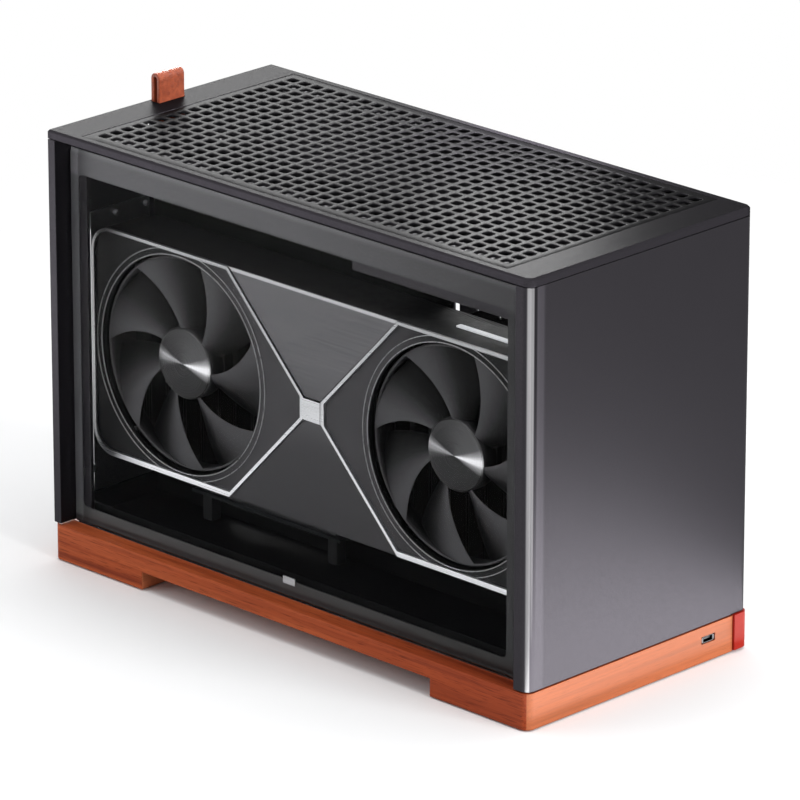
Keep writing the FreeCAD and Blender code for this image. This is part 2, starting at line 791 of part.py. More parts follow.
# Rear panel: a plate set into a rim, with seats, the port window, the card slot and the inlet
REAR_SEAT_TIP = f"({REAR_INNER} + Sizes.seat_width)"
PORTS_BACK = f"({SPINE_BACK} + Sizes.standoff_height - Sizes.ports_window_back)"
PORTS_FRONT = f"({PORTS_BACK} + Sizes.ports_window_width)"
PORTS_LOW = f"({TRAY_FLOOR} + Sizes.ports_window_rise)"
INLET_MIDDLE = f"({PORTS_FRONT} + Sizes.inlet_window_gap + Sizes.inlet_width / 2)"
INLET_LOW = f"({TRAY_FLOOR} + Sizes.inlet_rise)"
INLET_CENTRE = f"({INLET_LOW} + Sizes.inlet_tall / 2)"
SLOT_LOW = f"({DECK} + Sizes.slot_low)"
SLOT_HIGH = f"({SLOT_LOW} + Sizes.slot_tall)"
SLOT_INNER = f"({SPINE_FACE} - Sizes.slot_side_gap)"
SLOT_OUTER = f"({SLOT_INNER} - Sizes.slot_width)"
BRACKET_HIGH = f"({SLOT_HIGH} + Sizes.bracket_ear)"
TAB_REAR = f"({REAR} + Sizes.tab_rear_gap)"
TAB_DEPTH = "(2 * Sizes.tab_strap + Sizes.lug_sheet)"
TAB_FOOT = f"({LID_UNDER} - Sizes.tab_drop)"
rear = new_body("rear_panel")
rear_profile = new_sketch(rear, "XY", SHELL_FOOT)
outline(
    rear_profile,
    (REAR, f"-{HALF_WIDTH}"),
    (REAR_INNER, f"-{HALF_WIDTH}"),
    (REAR_INNER, f"-{SEAT}"),
    (REAR_SEAT_TIP, f"-{SEAT}"),
    (REAR_SEAT_TIP, f"-{INNER_HALF}"),
    (REAR_INNER, f"-{INNER_HALF}"),
    (REAR_INNER, INNER_HALF),
    (REAR_SEAT_TIP, INNER_HALF),
    (REAR_SEAT_TIP, SEAT),
    (REAR_INNER, SEAT),
    (REAR_INNER, HALF_WIDTH),
    (REAR, HALF_WIDTH),
    (REAR, SIDE_INNER),
    (REAR_OUTER, SIDE_INNER),
    (REAR_OUTER, f"-{SIDE_INNER}"),
    (REAR, f"-{SIDE_INNER}"),
)
rear_block = pad(rear, rear_profile, f"{SHELL_TOP} - {SHELL_FOOT}")
rear_edge = -size("case_length") / 2
rear_side = size("case_width") / 2
fillet(
    rear,
    rear_block,
    "Sizes.rear_radius",
    lambda middle, way: near(abs(way.z), 1) and near(middle.x, rear_edge) and near(abs(middle.y), rear_side),
)
rear_windows = new_sketch(rear, "YZ", REAR_OUTER)
rectangle(rear_windows, PORTS_BACK, PORTS_FRONT, PORTS_LOW, f"{PORTS_LOW} + Sizes.ports_window_tall")
rectangle(rear_windows, SLOT_OUTER, SLOT_INNER, SLOT_LOW, SLOT_HIGH)
rectangle(
    rear_windows,
    f"{INLET_MIDDLE} - Sizes.inlet_width / 2 - Sizes.inlet_room",
    f"{INLET_MIDDLE} + Sizes.inlet_width / 2 + Sizes.inlet_room",
    f"{INLET_LOW} - Sizes.inlet_room",
    f"{INLET_LOW} + Sizes.inlet_tall + Sizes.inlet_room",
)
pocket(rear, rear_windows, "Sizes.shell_sheet", along_normal=True)
tab_notch = new_sketch(rear, "YZ", REAR_OUTER)
rectangle(
    tab_notch,
    "-Sizes.lug_width / 2 - Sizes.lug_notch_room",
    "Sizes.lug_width / 2 + Sizes.lug_notch_room",
    f"{TAB_FOOT} - Sizes.lug_notch_room",
    ROOF,
)
pocket(rear, tab_notch, "Sizes.shell_sheet", along_normal=True)
rear_peg_ways = new_sketch(rear, "XZ")
for height in (PEG_LOW, PEG_HIGH):
    rectangle(
        rear_peg_ways,
        f"{PEG_REAR} - {PEG_WAY}",
        f"{PEG_REAR} + {PEG_WAY}",
        f"{height} - {PEG_WAY}",
        f"{height} + {PEG_WAY}",
    )
cut_through(rear, rear_peg_ways)

# Lid with a rabbeted window, a slot for the tab and the lug that carries it
MESH_REAR = f"({REAR} + Sizes.mesh_rear_rim)"
MESH_FRONT = f"({FRONT} - Sizes.mesh_front_rim)"
MESH_HALF = f"({HALF_WIDTH} - Sizes.mesh_side_rim)"
MESH_MIDDLE = f"(({MESH_REAR} + {MESH_FRONT}) / 2)"
LUG_REAR = f"({TAB_REAR} + Sizes.tab_strap)"
lid = new_body("top_cover")
lid_plan = new_sketch(lid, "XY", LID_FOOT)
rectangle(lid_plan, REAR, FRONT, f"-{HALF_WIDTH}", HALF_WIDTH)
lid_block = pad(lid, lid_plan, "Sizes.lid_flange")
lid_front_round = fillet(
    lid,
    lid_block,
    "Sizes.corner_radius",
    lambda middle, way: near(abs(way.z), 1) and middle.x > 0,
)
lid_rear_round = fillet(
    lid,
    lid_front_round,
    "Sizes.rear_radius",
    lambda middle, way: near(abs(way.z), 1) and near(middle.x, rear_edge),
)
lid_roof = size("case_height")
lid_edge = lid.newObject("PartDesign::Chamfer", "lid_edge")
lid_edge.Base = (
    lid_rear_round,
    edges_where(lid_rear_round, lambda middle, way: near(middle.z, lid_roof) and near(middle.x, front_face)),
)
lid_edge.setExpression("Size", "Sizes.lid_edge")
lid_hollow = new_sketch(lid, "XY", LID_FOOT)
rectangle(
    lid_hollow,
    f"{REAR} + Sizes.lid_wall",
    f"{FRONT} - Sizes.lid_wall",
    f"-{HALF_WIDTH} + Sizes.lid_wall",
    f"{HALF_WIDTH} - Sizes.lid_wall",
)
pocket(lid, lid_hollow, f"{LID_UNDER} - {LID_FOOT}", along_normal=True)
mesh_seat = new_sketch(lid, "XY", ROOF)
rectangle(
    mesh_seat,
    f"{MESH_REAR} - Sizes.mesh_room",
    f"{MESH_FRONT} + Sizes.mesh_room",
    f"-{MESH_HALF} - Sizes.mesh_room",
    f"{MESH_HALF} + Sizes.mesh_room",
)
pocket(lid, mesh_seat, "Sizes.mesh_sheet")
lid_window = new_sketch(lid, "XY", ROOF)
rectangle(
    lid_window,
    f"{MESH_REAR} + Sizes.mesh_ledge",
    f"{MESH_FRONT} - Sizes.mesh_ledge",
    f"-{MESH_HALF} + Sizes.mesh_ledge",
    f"{MESH_HALF} - Sizes.mesh_ledge",
)
rectangle(
    lid_window,
    f"{TAB_REAR} - Sizes.tab_room",
    f"{TAB_REAR} + {TAB_DEPTH} + Sizes.tab_room",
    "-Sizes.tab_width / 2 - Sizes.tab_room",
    "Sizes.tab_width / 2 + Sizes.tab_room",
)
pocket(lid, lid_window, "Sizes.lid_sheet")
lug = new_sketch(lid, "XY", LID_UNDER)
rectangle(lug, LUG_REAR, f"{LUG_REAR} + Sizes.lug_sheet", "-Sizes.lug_width / 2", "Sizes.lug_width / 2")
pad(lid, lug, "Sizes.tab_drop", reverse=True)

# Grille of the lid: a frame with long bars above and short bars below, open between the crossings
mesh = new_body("top_mesh", MESH_MIDDLE, "0", f"{ROOF} - Sizes.mesh_sheet")
MESH_HALF_LONG = f"(({MESH_FRONT} - {MESH_REAR}) / 2)"
HALF_LONG = f"({MESH_HALF_LONG} - Sizes.mesh_border_long)"
HALF_CROSS = f"({MESH_HALF} - Sizes.mesh_border_cross)"
PITCH_LONG = f"((2 * {HALF_LONG} + Sizes.mesh_bar_long) / Sizes.mesh_count_long)"
PITCH_CROSS = f"((2 * {HALF_CROSS} + Sizes.mesh_bar_cross) / Sizes.mesh_count_cross)"
LAYER = "((Sizes.mesh_sheet - Sizes.mesh_layer_gap) / 2)"
mesh_frame = new_sketch(mesh, "XY")
rectangle(mesh_frame, f"-{MESH_HALF_LONG}", MESH_HALF_LONG, f"-{MESH_HALF}", MESH_HALF)
rectangle(mesh_frame, f"-{HALF_LONG}", HALF_LONG, f"-{HALF_CROSS}", HALF_CROSS)
pad(mesh, mesh_frame, "Sizes.mesh_sheet")
long_bar = new_sketch(mesh, "XY", "Sizes.mesh_sheet")
rectangle(
    long_bar,
    f"-{HALF_LONG}",
    HALF_LONG,
    f"-{HALF_CROSS} + {PITCH_CROSS} - Sizes.mesh_bar_cross",
    f"-{HALF_CROSS} + {PITCH_CROSS}",
)
long_bars = pad(mesh, long_bar, LAYER, reverse=True)
row(mesh, long_bars, "Y", PITCH_CROSS, "Sizes.mesh_count_cross - 1")
short_bar = new_sketch(mesh, "XY")
rectangle(
    short_bar,
    f"-{HALF_LONG} + {PITCH_LONG} - Sizes.mesh_bar_long",
    f"-{HALF_LONG} + {PITCH_LONG}",
    f"-{HALF_CROSS}",
    HALF_CROSS,
)
short_bars = pad(mesh, short_bar, LAYER)
row(mesh, short_bars, "X", PITCH_LONG, "Sizes.mesh_count_long - 1")

# Leather strap folded into a loop over the lug
tab = new_body("leather_tab", TAB_REAR, "-Sizes.tab_width / 2", TAB_FOOT)
tab_fold = new_sketch(tab, "XZ")
TAB_TALL = "(Sizes.tab_drop + Sizes.lid_sheet + Sizes.tab_height)"
outline(
    tab_fold,
    ("0", "0"),
    ("Sizes.tab_strap", "0"),
    ("Sizes.tab_strap", f"{TAB_TALL} - Sizes.tab_strap"),
    ("Sizes.tab_strap + Sizes.lug_sheet", f"{TAB_TALL} - Sizes.tab_strap"),
    ("Sizes.tab_strap + Sizes.lug_sheet", "0"),
    (TAB_DEPTH, "0"),
    (TAB_DEPTH, TAB_TALL),
    ("0", TAB_TALL),
)
tab_loop = pad(tab, tab_fold, "Sizes.tab_width", reverse=True)
tab_top = size("tab_drop") + size("lid_sheet") + size("tab_height")
fillet(
    tab,
    tab_loop,
    "Sizes.tab_strap + Sizes.lug_sheet / 4",
    lambda middle, way: near(abs(way.y), 1) and near(middle.z, tab_top),
)

# Side glass with its printed border, pegs and a bare plate
glass = new_body("glass_panel")
glass_face = new_sketch(glass, "XZ", GLASS_BACK)
rectangle(glass_face, PANE_REAR, PANE_FRONT, PANE_LOW, GLASS_HIGH)
glass_block = pad(glass, glass_face, "Sizes.glass_thickness")
glass_front = -(size("case_width") / 2 - size("glass_recess"))
glass_edge = glass.newObject("PartDesign::Chamfer", "glass_bevel")
glass_edge.Base = (glass_block, edges_where(glass_block, lambda middle, way: near(middle.y, glass_front)))
glass_edge.setExpression("Size", "Sizes.glass_bevel")

border = new_body("glass_border")
border_face = new_sketch(border, "XZ", BORDER_BACK)
rectangle(border_face, PANE_REAR, PANE_FRONT, PANE_LOW, GLASS_HIGH)
border_block = pad(border, border_face, "Sizes.border_film")
border_window = new_sketch(border, "XZ", BORDER_BACK)
rectangle(
    border_window,
    f"{PANE_REAR} + Sizes.border_rear",
    f"{PANE_FRONT} - Sizes.border_front",
    f"{PANE_LOW} + Sizes.border_low",
    f"{GLASS_HIGH} - Sizes.border_top",
)
border_cut = pocket(border, border_window, "Sizes.border_film", along_normal=True)
border_low_edge = (
    size("plinth_height") + size("shadow_gap") + size("edge_gap") + size("border_low")
)
shell_high = size("case_height") - size("lid_flange") - size("lid_seam")
glass_high = shell_high - size("edge_gap") - size("glass_top_gap")
border_high_edge = glass_high - size("border_top")
fillet(
    border,
    border_cut,
    "Sizes.border_radius",
    lambda middle, way: near(abs(way.y), 1)
    and (near(middle.z, border_low_edge) or near(middle.z, border_high_edge)),
)

badge = new_body("bare_badge")
badge_face = new_sketch(badge, "XZ", GLASS_OUT)
PANE_MIDDLE = f"(({PANE_REAR} + {PANE_FRONT}) / 2)"
rectangle(
    badge_face,
    f"{PANE_MIDDLE} - Sizes.badge_width / 2",
    f"{PANE_MIDDLE} + Sizes.badge_width / 2",
    f"{PANE_LOW} + Sizes.badge_rise - Sizes.badge_tall / 2",
    f"{PANE_LOW} + Sizes.badge_rise + Sizes.badge_tall / 2",
)
pad(badge, badge_face, "Sizes.badge_thickness")

PEG_SPOTS = [(across, height) for across in (PEG_REAR, PEG_FRONT) for height in (PEG_LOW, PEG_HIGH)]


def pegs(label, depth, reach):
    """Four square pegs that run back from a depth into the seats."""
    pieces = [
        block(
            f"{label}_peg",
            (f"{across} - {PEG_HALF}", depth, f"{height} - {PEG_HALF}"),
            "Sizes.peg_side",
            reach,
            "Sizes.peg_side",
        )
        for across, height in PEG_SPOTS
    ]
    return group(label, pieces)


pegs("glass_pegs", f"-{BORDER_BACK}", "Sizes.peg_reach")

# Far side panel, a pan with two rows of upright vents, and its pegs
side = new_body("side_panel")
side_face = new_sketch(side, "XZ", f"-{GLASS_OUT}")
rectangle(side_face, PANE_REAR, PANE_FRONT, PANE_LOW, PANE_HIGH)
PAN_DEPTH = f"({GLASS_OUT} - {BORDER_BACK})"
pad(side, side_face, PAN_DEPTH)
side_hollow = new_sketch(side, "XZ", f"-{BORDER_BACK}")
rectangle(
    side_hollow,
    f"{PANE_REAR} + Sizes.side_sheet",
    f"{PANE_FRONT} - Sizes.side_sheet",
    f"{PANE_LOW} + Sizes.side_sheet",
    f"{PANE_HIGH} - Sizes.side_sheet",
)
pocket(side, side_hollow, f"{PAN_DEPTH} - Sizes.side_sheet")
PANE_CENTRE = f"(({PANE_LOW} + {PANE_HIGH}) / 2)"
FIRST_VENT = f"({PANE_MIDDLE} - (Sizes.vent_count - 1) * Sizes.vent_pitch / 2)"
vents = new_sketch(side, "XZ", f"-{GLASS_OUT}")
for sign in ("-", "+"):
    vent_middle = f"({PANE_CENTRE} - Sizes.vent_lowered {sign} Sizes.vent_row_pitch / 2)"
    rectangle(
        vents,
        f"{FIRST_VENT} - Sizes.vent_width / 2",
        f"{FIRST_VENT} + Sizes.vent_width / 2",
        f"{vent_middle} - Sizes.vent_length / 2",
        f"{vent_middle} + Sizes.vent_length / 2",
    )
vent_cut = pocket(side, vents, "Sizes.side_sheet", along_normal=True)
row(side, vent_cut, "X", "Sizes.vent_pitch", "Sizes.vent_count")

PEG_END = f"({BORDER_BACK} - Sizes.peg_reach)"
pegs("side_pegs", PEG_END, f"{GLASS_OUT} - Sizes.side_sheet - {PEG_END}")

# Angle rails that carry the lid; the one behind the glass has a deeper lip in its front part
RAIL_HIGH = f"({LID_UNDER} - Sizes.rail_gap)"
RAIL_LOW = f"({RAIL_HIGH} - Sizes.rail_leg)"
RAIL_LONG = f"({FRONT_INNER} - {REAR_INNER})"
LEG_INNER = f"({INNER_HALF} - Sizes.rail_sheet)"
SHELF_INNER = f"({INNER_HALF} - Sizes.rail_shelf)"


def angle_rail(label, side):
    """An angle along one side, drawn as its section and run from the rear panel to the front."""
    rail = new_body(label)
    section = new_sketch(rail, "YZ", REAR_INNER)
    outline(
        section,
        (f"{side}{INNER_HALF}", RAIL_LOW),
        (f"{side}{LEG_INNER}", RAIL_LOW),
        (f"{side}{LEG_INNER}", f"{RAIL_HIGH} - Sizes.rail_sheet"),
        (f"{side}{SHELF_INNER}", f"{RAIL_HIGH} - Sizes.rail_sheet"),
        (f"{side}{SHELF_INNER}", RAIL_HIGH),
        (f"{side}{INNER_HALF}", RAIL_HIGH),
    )
    pad(rail, section, RAIL_LONG)
    return rail


near_rail = angle_rail("glass_side_rail", "-")
lip = new_sketch(near_rail, "XZ", LEG_INNER)
rectangle(
    lip,
    f"{FRONT_INNER} - Sizes.lip_length",
    FRONT_INNER,
    f"{RAIL_LOW} - Sizes.lip_drop",
    RAIL_LOW,
)
pad(near_rail, lip, "Sizes.rail_sheet")
angle_rail("far_side_rail", "")

# Spine wall between the card and the board chamber
spine = new_body("spine")
SPINE_REAR = f"({REAR_INNER} + Sizes.tray_sheet)"
SPINE_FRONT = f"({FRONT_INNER} - Sizes.tray_sheet)"
spine_section = new_sketch(spine, "YZ", SPINE_REAR)
outline(
    spine_section,
    (SPINE_FACE, TRAY_FLOOR),
    (f"{SPINE_FACE} + Sizes.spine_foot", TRAY_FLOOR),
    (f"{SPINE_FACE} + Sizes.spine_foot", f"{TRAY_FLOOR} + Sizes.spine_sheet"),
    (SPINE_BACK, f"{TRAY_FLOOR} + Sizes.spine_sheet"),
    (SPINE_BACK, f"{SHELL_TOP} - Sizes.spine_top_gap"),
    (SPINE_FACE, f"{SHELL_TOP} - Sizes.spine_top_gap"),
)
pad(spine, spine_section, f"{SPINE_FRONT} - {SPINE_REAR}")
spine_windows = new_sketch(spine, "XZ")
RIBBON_REAR = f"({CARD_REAR} + Sizes.tongue_place)"
RIBBON_LOW = f"({TRAY_FLOOR} + Sizes.ribbon_window_rise)"
CABLE_FRONT = f"({FRONT_INNER} - Sizes.cable_window_inset)"
CABLE_LOW = f"({TRAY_FLOOR} + Sizes.cable_window_rise)"
rectangle(
    spine_windows,
    RIBBON_REAR,
    f"{RIBBON_REAR} + Sizes.ribbon_window_length",
    RIBBON_LOW,
    f"{RIBBON_LOW} + Sizes.ribbon_window_tall",
)
rectangle(
    spine_windows,
    f"{CABLE_FRONT} - Sizes.cable_window_length",
    CABLE_FRONT,
    CABLE_LOW,
    f"{CABLE_LOW} + Sizes.cable_window_tall",
)
cut_through(spine, spine_windows)

BOARD_HOLE_REAR = f"({REAR_INNER} + Sizes.board_rear_gap + Sizes.hole_edge)"
BOARD_HOLE_LOW = f"({TRAY_FLOOR} + Sizes.board_rise + Sizes.hole_edge)"
standoffs = []
for across in (BOARD_HOLE_REAR, f"{BOARD_HOLE_REAR} + Sizes.hole_pitch_long"):
    for height in (BOARD_HOLE_LOW, f"{BOARD_HOLE_LOW} + Sizes.hole_pitch_tall"):
        hexagon = doc.addObject("Part::Prism", "standoff_body")
        hexagon.Polygon = 6
        hexagon.Placement = FreeCAD.Placement(FreeCAD.Vector(0, 0, 0), AXIS_TURN["y"])
        for letter, where in zip("xyz", (across, SPINE_BACK, height)):
            hexagon.setExpression(f"Placement.Base.{letter}", where)
        hexagon.setExpression("Circumradius", "Sizes.standoff_radius")
        hexagon.setExpression("Height", "Sizes.standoff_height")
        standoff = doc.addObject("Part::Cut", "standoff")
        standoff.Base = hexagon
        standoff.Tool = rod(
            "standoff_bore", "y", (across, SPINE_BACK, height), "Sizes.standoff_bore", "Sizes.standoff_height"
        )
        standoffs.append(standoff)
group("standoffs", standoffs)

# Power supply bracket, an angle on the spine with an open window and four screw holes
BOARD_FRONT = f"({BOARD_HOLE_REAR} + Sizes.hole_pitch_long + Sizes.hole_edge)"
SUPPLY_REAR = f"({BOARD_FRONT} + Sizes.supply_place)"
SUPPLY_LOW = f"({TRAY_FLOOR} + Sizes.spine_sheet)"
SUPPLY_SIDE = f"({SPINE_BACK} + Sizes.supply_sheet)"
supply = new_body("psu_bracket")
supply_plan = new_sketch(supply, "XY", SUPPLY_LOW)
outline(
    supply_plan,
    (SUPPLY_REAR, SPINE_BACK),
    (f"{SUPPLY_REAR} + Sizes.supply_flange", SPINE_BACK),
    (f"{SUPPLY_REAR} + Sizes.supply_flange", SUPPLY_SIDE),
    (f"{SUPPLY_REAR} + Sizes.supply_sheet", SUPPLY_SIDE),
    (f"{SUPPLY_REAR} + Sizes.supply_sheet", f"{SUPPLY_SIDE} + Sizes.supply_width"),
    (SUPPLY_REAR, f"{SUPPLY_SIDE} + Sizes.supply_width"),
)
pad(supply, supply_plan, "Sizes.supply_tall")
supply_window = new_sketch(supply, "YZ", SUPPLY_REAR)
rectangle(
    supply_window,
    f"{SUPPLY_SIDE} + 2 * Sizes.supply_rim",
    f"{SUPPLY_SIDE} + Sizes.supply_width - 2 * Sizes.supply_rim",
    f"{SUPPLY_LOW} + 2 * Sizes.supply_rim",
    f"{SUPPLY_LOW} + Sizes.supply_tall - 2 * Sizes.supply_rim",
)
for across in (
    f"{SUPPLY_SIDE} + Sizes.supply_hole_edge",
    f"{SUPPLY_SIDE} + Sizes.supply_width - Sizes.supply_hole_edge",
):
    for height in (
        f"{SUPPLY_LOW} + Sizes.supply_hole_edge",
        f"{SUPPLY_LOW} + Sizes.supply_tall - Sizes.supply_hole_edge",
    ):
        circle(supply_window, across, height, "Sizes.supply_hole")
pocket(supply, supply_window, "Sizes.supply_sheet", along_normal=True)

# Mains inlet with its three pins
inlet = new_body("power_inlet")
inlet_flange = new_sketch(inlet, "YZ", REAR_OUTER)
rectangle(
    inlet_flange,
    f"{INLET_MIDDLE} - Sizes.inlet_width / 2 - Sizes.inlet_flange_edge",
    f"{INLET_MIDDLE} + Sizes.inlet_width / 2 + Sizes.inlet_flange_edge",
    f"{INLET_LOW} - Sizes.inlet_flange_edge",
    f"{INLET_LOW} + Sizes.inlet_tall + Sizes.inlet_flange_edge",
)
pad(inlet, inlet_flange, "Sizes.inlet_flange", reverse=True)
inlet_barrel = new_sketch(inlet, "YZ", REAR_OUTER)
rectangle(
    inlet_barrel,
    f"{INLET_MIDDLE} - Sizes.inlet_width / 2",
    f"{INLET_MIDDLE} + Sizes.inlet_width / 2",
    INLET_LOW,
    f"{INLET_LOW} + Sizes.inlet_tall",
)
pad(inlet, inlet_barrel, "Sizes.inlet_depth")
INLET_MOUTH = f"({REAR_OUTER} - Sizes.inlet_flange)"
inlet_mouth = new_sketch(inlet, "YZ", INLET_MOUTH)
rectangle(
    inlet_mouth,
    f"{INLET_MIDDLE} - Sizes.inlet_width / 2 + Sizes.inlet_wall",
    f"{INLET_MIDDLE} + Sizes.inlet_width / 2 - Sizes.inlet_wall",
    f"{INLET_LOW} + Sizes.inlet_wall",
    f"{INLET_LOW} + Sizes.inlet_tall - Sizes.inlet_wall",
)
pocket(inlet, inlet_mouth, "Sizes.inlet_sunk", along_normal=True)

pins = []
for across, height in (
    ("0", "0"),
    ("-Sizes.pin_spread / 2", "-Sizes.pin_spread"),
    ("-Sizes.pin_spread / 2", "Sizes.pin_spread"),
):
    pins.append(
        block(
            "inlet_pin",
            (
                f"{INLET_MOUTH} + Sizes.inlet_sunk - Sizes.pin_length",
                f"{INLET_MIDDLE} + {across} + Sizes.pin_spread / 4 - Sizes.pin_tall / 2",
                f"{INLET_CENTRE} + {height} - Sizes.pin_width / 2",
            ),
            "Sizes.pin_length",
            "Sizes.pin_tall",
            "Sizes.pin_width",
        )
    )
group("inlet_pins", pins)

# Card: shroud, an open-backed pan with two fan openings
shroud = new_body("card_shroud")
shroud_face = new_sketch(shroud, "XZ", f"-{CARD_FACE}")
rectangle(shroud_face, CARD_REAR, CARD_FRONT, CARD_LOW, CARD_HIGH)
shroud_block = pad(shroud, shroud_face, "Sizes.shroud_depth", reverse=True)
fillet(shroud, shroud_block, "Sizes.card_radius", lambda middle, way: near(abs(way.y), 1))
shroud_hollow = new_sketch(shroud, "XZ", f"-({CARD_FACE} + Sizes.shroud_plate)")
rectangle(
    shroud_hollow,
    f"{CARD_REAR} + Sizes.shroud_wall",
    f"{CARD_FRONT} - Sizes.shroud_wall",
    f"{CARD_LOW} + Sizes.shroud_wall",
    f"{CARD_HIGH} - Sizes.shroud_wall",
)
shroud_cut = pocket(shroud, shroud_hollow, "Sizes.shroud_depth")
fan_openings = new_sketch(shroud, "XZ", f"-{CARD_FACE}")
for sign in ("-", "+"):
    circle(fan_openings, f"{CARD_MIDDLE} {sign} Sizes.fan_from_middle", CARD_CENTRE, "Sizes.fan_opening")
pocket(shroud, fan_openings, "Sizes.shroud_plate")

# Card: bright trim, a pointed loop round each fan, joined by a block in the middle
HALF_CARD = "(Sizes.card_length / 2)"
HALF_TALL = "(Sizes.card_height / 2)"
BLOCK_HALF = "(Sizes.cross_block_width / 2)"
BLOCK_TALL = "(Sizes.cross_block_tall / 2)"
SLANT_RUN = f"(Sizes.cross_reach - {BLOCK_HALF})"
SLANT_RISE = f"({HALF_TALL} - {BLOCK_TALL})"
SLANT_STEP = f"(Sizes.trim_width * sqrt({SLANT_RUN}^2 + {SLANT_RISE}^2) / {SLANT_RISE})"
INNER_REACH = f"(Sizes.cross_reach - Sizes.trim_width * {SLANT_RUN} / {SLANT_RISE} + {SLANT_STEP})"
INNER_TALL = f"({HALF_TALL} - Sizes.trim_width)"
LOW_REACH = f"(Sizes.cross_reach - Sizes.trim_low_width * {SLANT_RUN} / {SLANT_RISE} + {SLANT_STEP})"
INNER_LOW = f"({HALF_TALL} - Sizes.trim_low_width)"
trim = new_body("card_trim", CARD_MIDDLE, CARD_FACE, CARD_CENTRE)
for side in ("-", ""):
    loop = new_sketch(trim, "XZ")
    outline(
        loop,
        (f"{side}{HALF_CARD}", f"-{HALF_TALL}"),
        (f"{side}Sizes.cross_reach", f"-{HALF_TALL}"),
        (f"{side}{BLOCK_HALF}", f"-{BLOCK_TALL}"),
        (f"{side}{BLOCK_HALF}", BLOCK_TALL),
        (f"{side}Sizes.cross_reach", HALF_TALL),
        (f"{side}{HALF_CARD}", HALF_TALL),
    )
    outline(
        loop,
        (f"{side}({HALF_CARD} - Sizes.trim_width)", f"-{INNER_LOW}"),
        (f"{side}{LOW_REACH}", f"-{INNER_LOW}"),
        (f"{side}({BLOCK_HALF} + {SLANT_STEP})", f"-{BLOCK_TALL}"),
        (f"{side}({BLOCK_HALF} + {SLANT_STEP})", BLOCK_TALL),
        (f"{side}{INNER_REACH}", INNER_TALL),
        (f"{side}({HALF_CARD} - Sizes.trim_width)", INNER_TALL),
    )
    pad(trim, loop, "Sizes.trim_proud")
    if side == "-":
        cross_block = new_sketch(trim, "XZ")
        rectangle(cross_block, f"-{BLOCK_HALF}", BLOCK_HALF, f"-{BLOCK_TALL}", BLOCK_TALL)
        pad(trim, cross_block, "Sizes.cross_block_proud")
trim_end = size("card_length") / 2
trim_joined = trim.Tip
trim_outer = fillet(
    trim,
    trim_joined,
    "Sizes.card_radius",
    lambda middle, way: near(abs(way.y), 1) and near(abs(middle.x), trim_end),
)
fillet(
    trim,
    trim_outer,
    "Sizes.card_radius - Sizes.trim_width",
    lambda middle, way: near(abs(way.y), 1) and near(abs(middle.x), trim_end - size("trim_width")),
)

# Card: centre panels above and below the crossing
panels = []
for label, side in (("upper_panel", ""), ("lower_panel", "-")):
    panel = new_body(label, CARD_MIDDLE, CARD_FACE, CARD_CENTRE)
    panel_face = new_sketch(panel, "XZ")
    outline(
        panel_face,
        ("-(Sizes.cross_reach - Sizes.panel_gap)", f"{side}{HALF_TALL}"),
        ("Sizes.cross_reach - Sizes.panel_gap", f"{side}{HALF_TALL}"),
        (f"{BLOCK_HALF} - Sizes.panel_gap", f"{side}({BLOCK_TALL} + Sizes.panel_gap)"),
        (f"-({BLOCK_HALF} - Sizes.panel_gap)", f"{side}({BLOCK_TALL} + Sizes.panel_gap)"),
    )
    pad(panel, panel_face, "Sizes.panel_proud")
    panels.append(panel)
group("card_panels", panels)

# Card: fin block between the fans and the board
fins = new_body("card_fins")
fin_face = new_sketch(fins, "XZ", f"-{FIN_FACE}")
FIN_REAR = f"({CARD_REAR} + Sizes.fin_end)"
FIN_LOW = f"({CARD_LOW} + Sizes.shroud_wall)"
FIN_HIGH = f"({CARD_HIGH} - Sizes.shroud_wall)"
rectangle(fin_face, FIN_REAR, f"{CARD_FRONT} - Sizes.fin_end", FIN_LOW, FIN_HIGH)
pad(fins, fin_face, "Sizes.fin_depth", reverse=True)
FIRST_GROOVE = f"({CARD_MIDDLE} - (Sizes.fin_count - 1) * Sizes.fin_pitch / 2)"
groove = new_sketch(fins, "XY", FIN_LOW)
rectangle(
    groove,
    f"{FIRST_GROOVE} - Sizes.fin_groove / 2",
    f"{FIRST_GROOVE} + Sizes.fin_groove / 2",
    FIN_FACE,
    f"{FIN_FACE} + Sizes.fin_groove_depth",
)
groove_cut = pocket(fins, groove, f"{FIN_HIGH} - {FIN_LOW}", along_normal=True)
row(fins, groove_cut, "X", "Sizes.fin_pitch", "Sizes.fin_count")

# Card: circuit board with its edge tongue, back plate, slot bracket, outlets and light strip
BRACKET_FACE = f"({REAR_INNER} + Sizes.bracket_sheet)"
BOARD_LOW = f"({CARD_LOW} - Sizes.card_board_edge)"
BOARD_HIGH = f"({CARD_HIGH} - Sizes.card_board_edge)"
TONGUE_REAR = f"({CARD_REAR} + Sizes.tongue_place)"
TONGUE_FRONT = f"({TONGUE_REAR} + Sizes.tongue_length)"
TONGUE_LOW = f"({BOARD_LOW} - Sizes.tongue_drop)"
board = new_body("card_board")
board_face = new_sketch(board, "XZ", f"-{BOARD_FACE}")
outline(
    board_face,
    (BRACKET_FACE, BOARD_LOW),
    (TONGUE_REAR, BOARD_LOW),
    (TONGUE_REAR, TONGUE_LOW),
    (TONGUE_FRONT, TONGUE_LOW),
    (TONGUE_FRONT, BOARD_LOW),
    (f"{CARD_FRONT} - Sizes.card_board_short", BOARD_LOW),
    (f"{CARD_FRONT} - Sizes.card_board_short", BOARD_HIGH),
    (BRACKET_FACE, BOARD_HIGH),
)
pad(board, board_face, "Sizes.card_board_sheet", reverse=True)

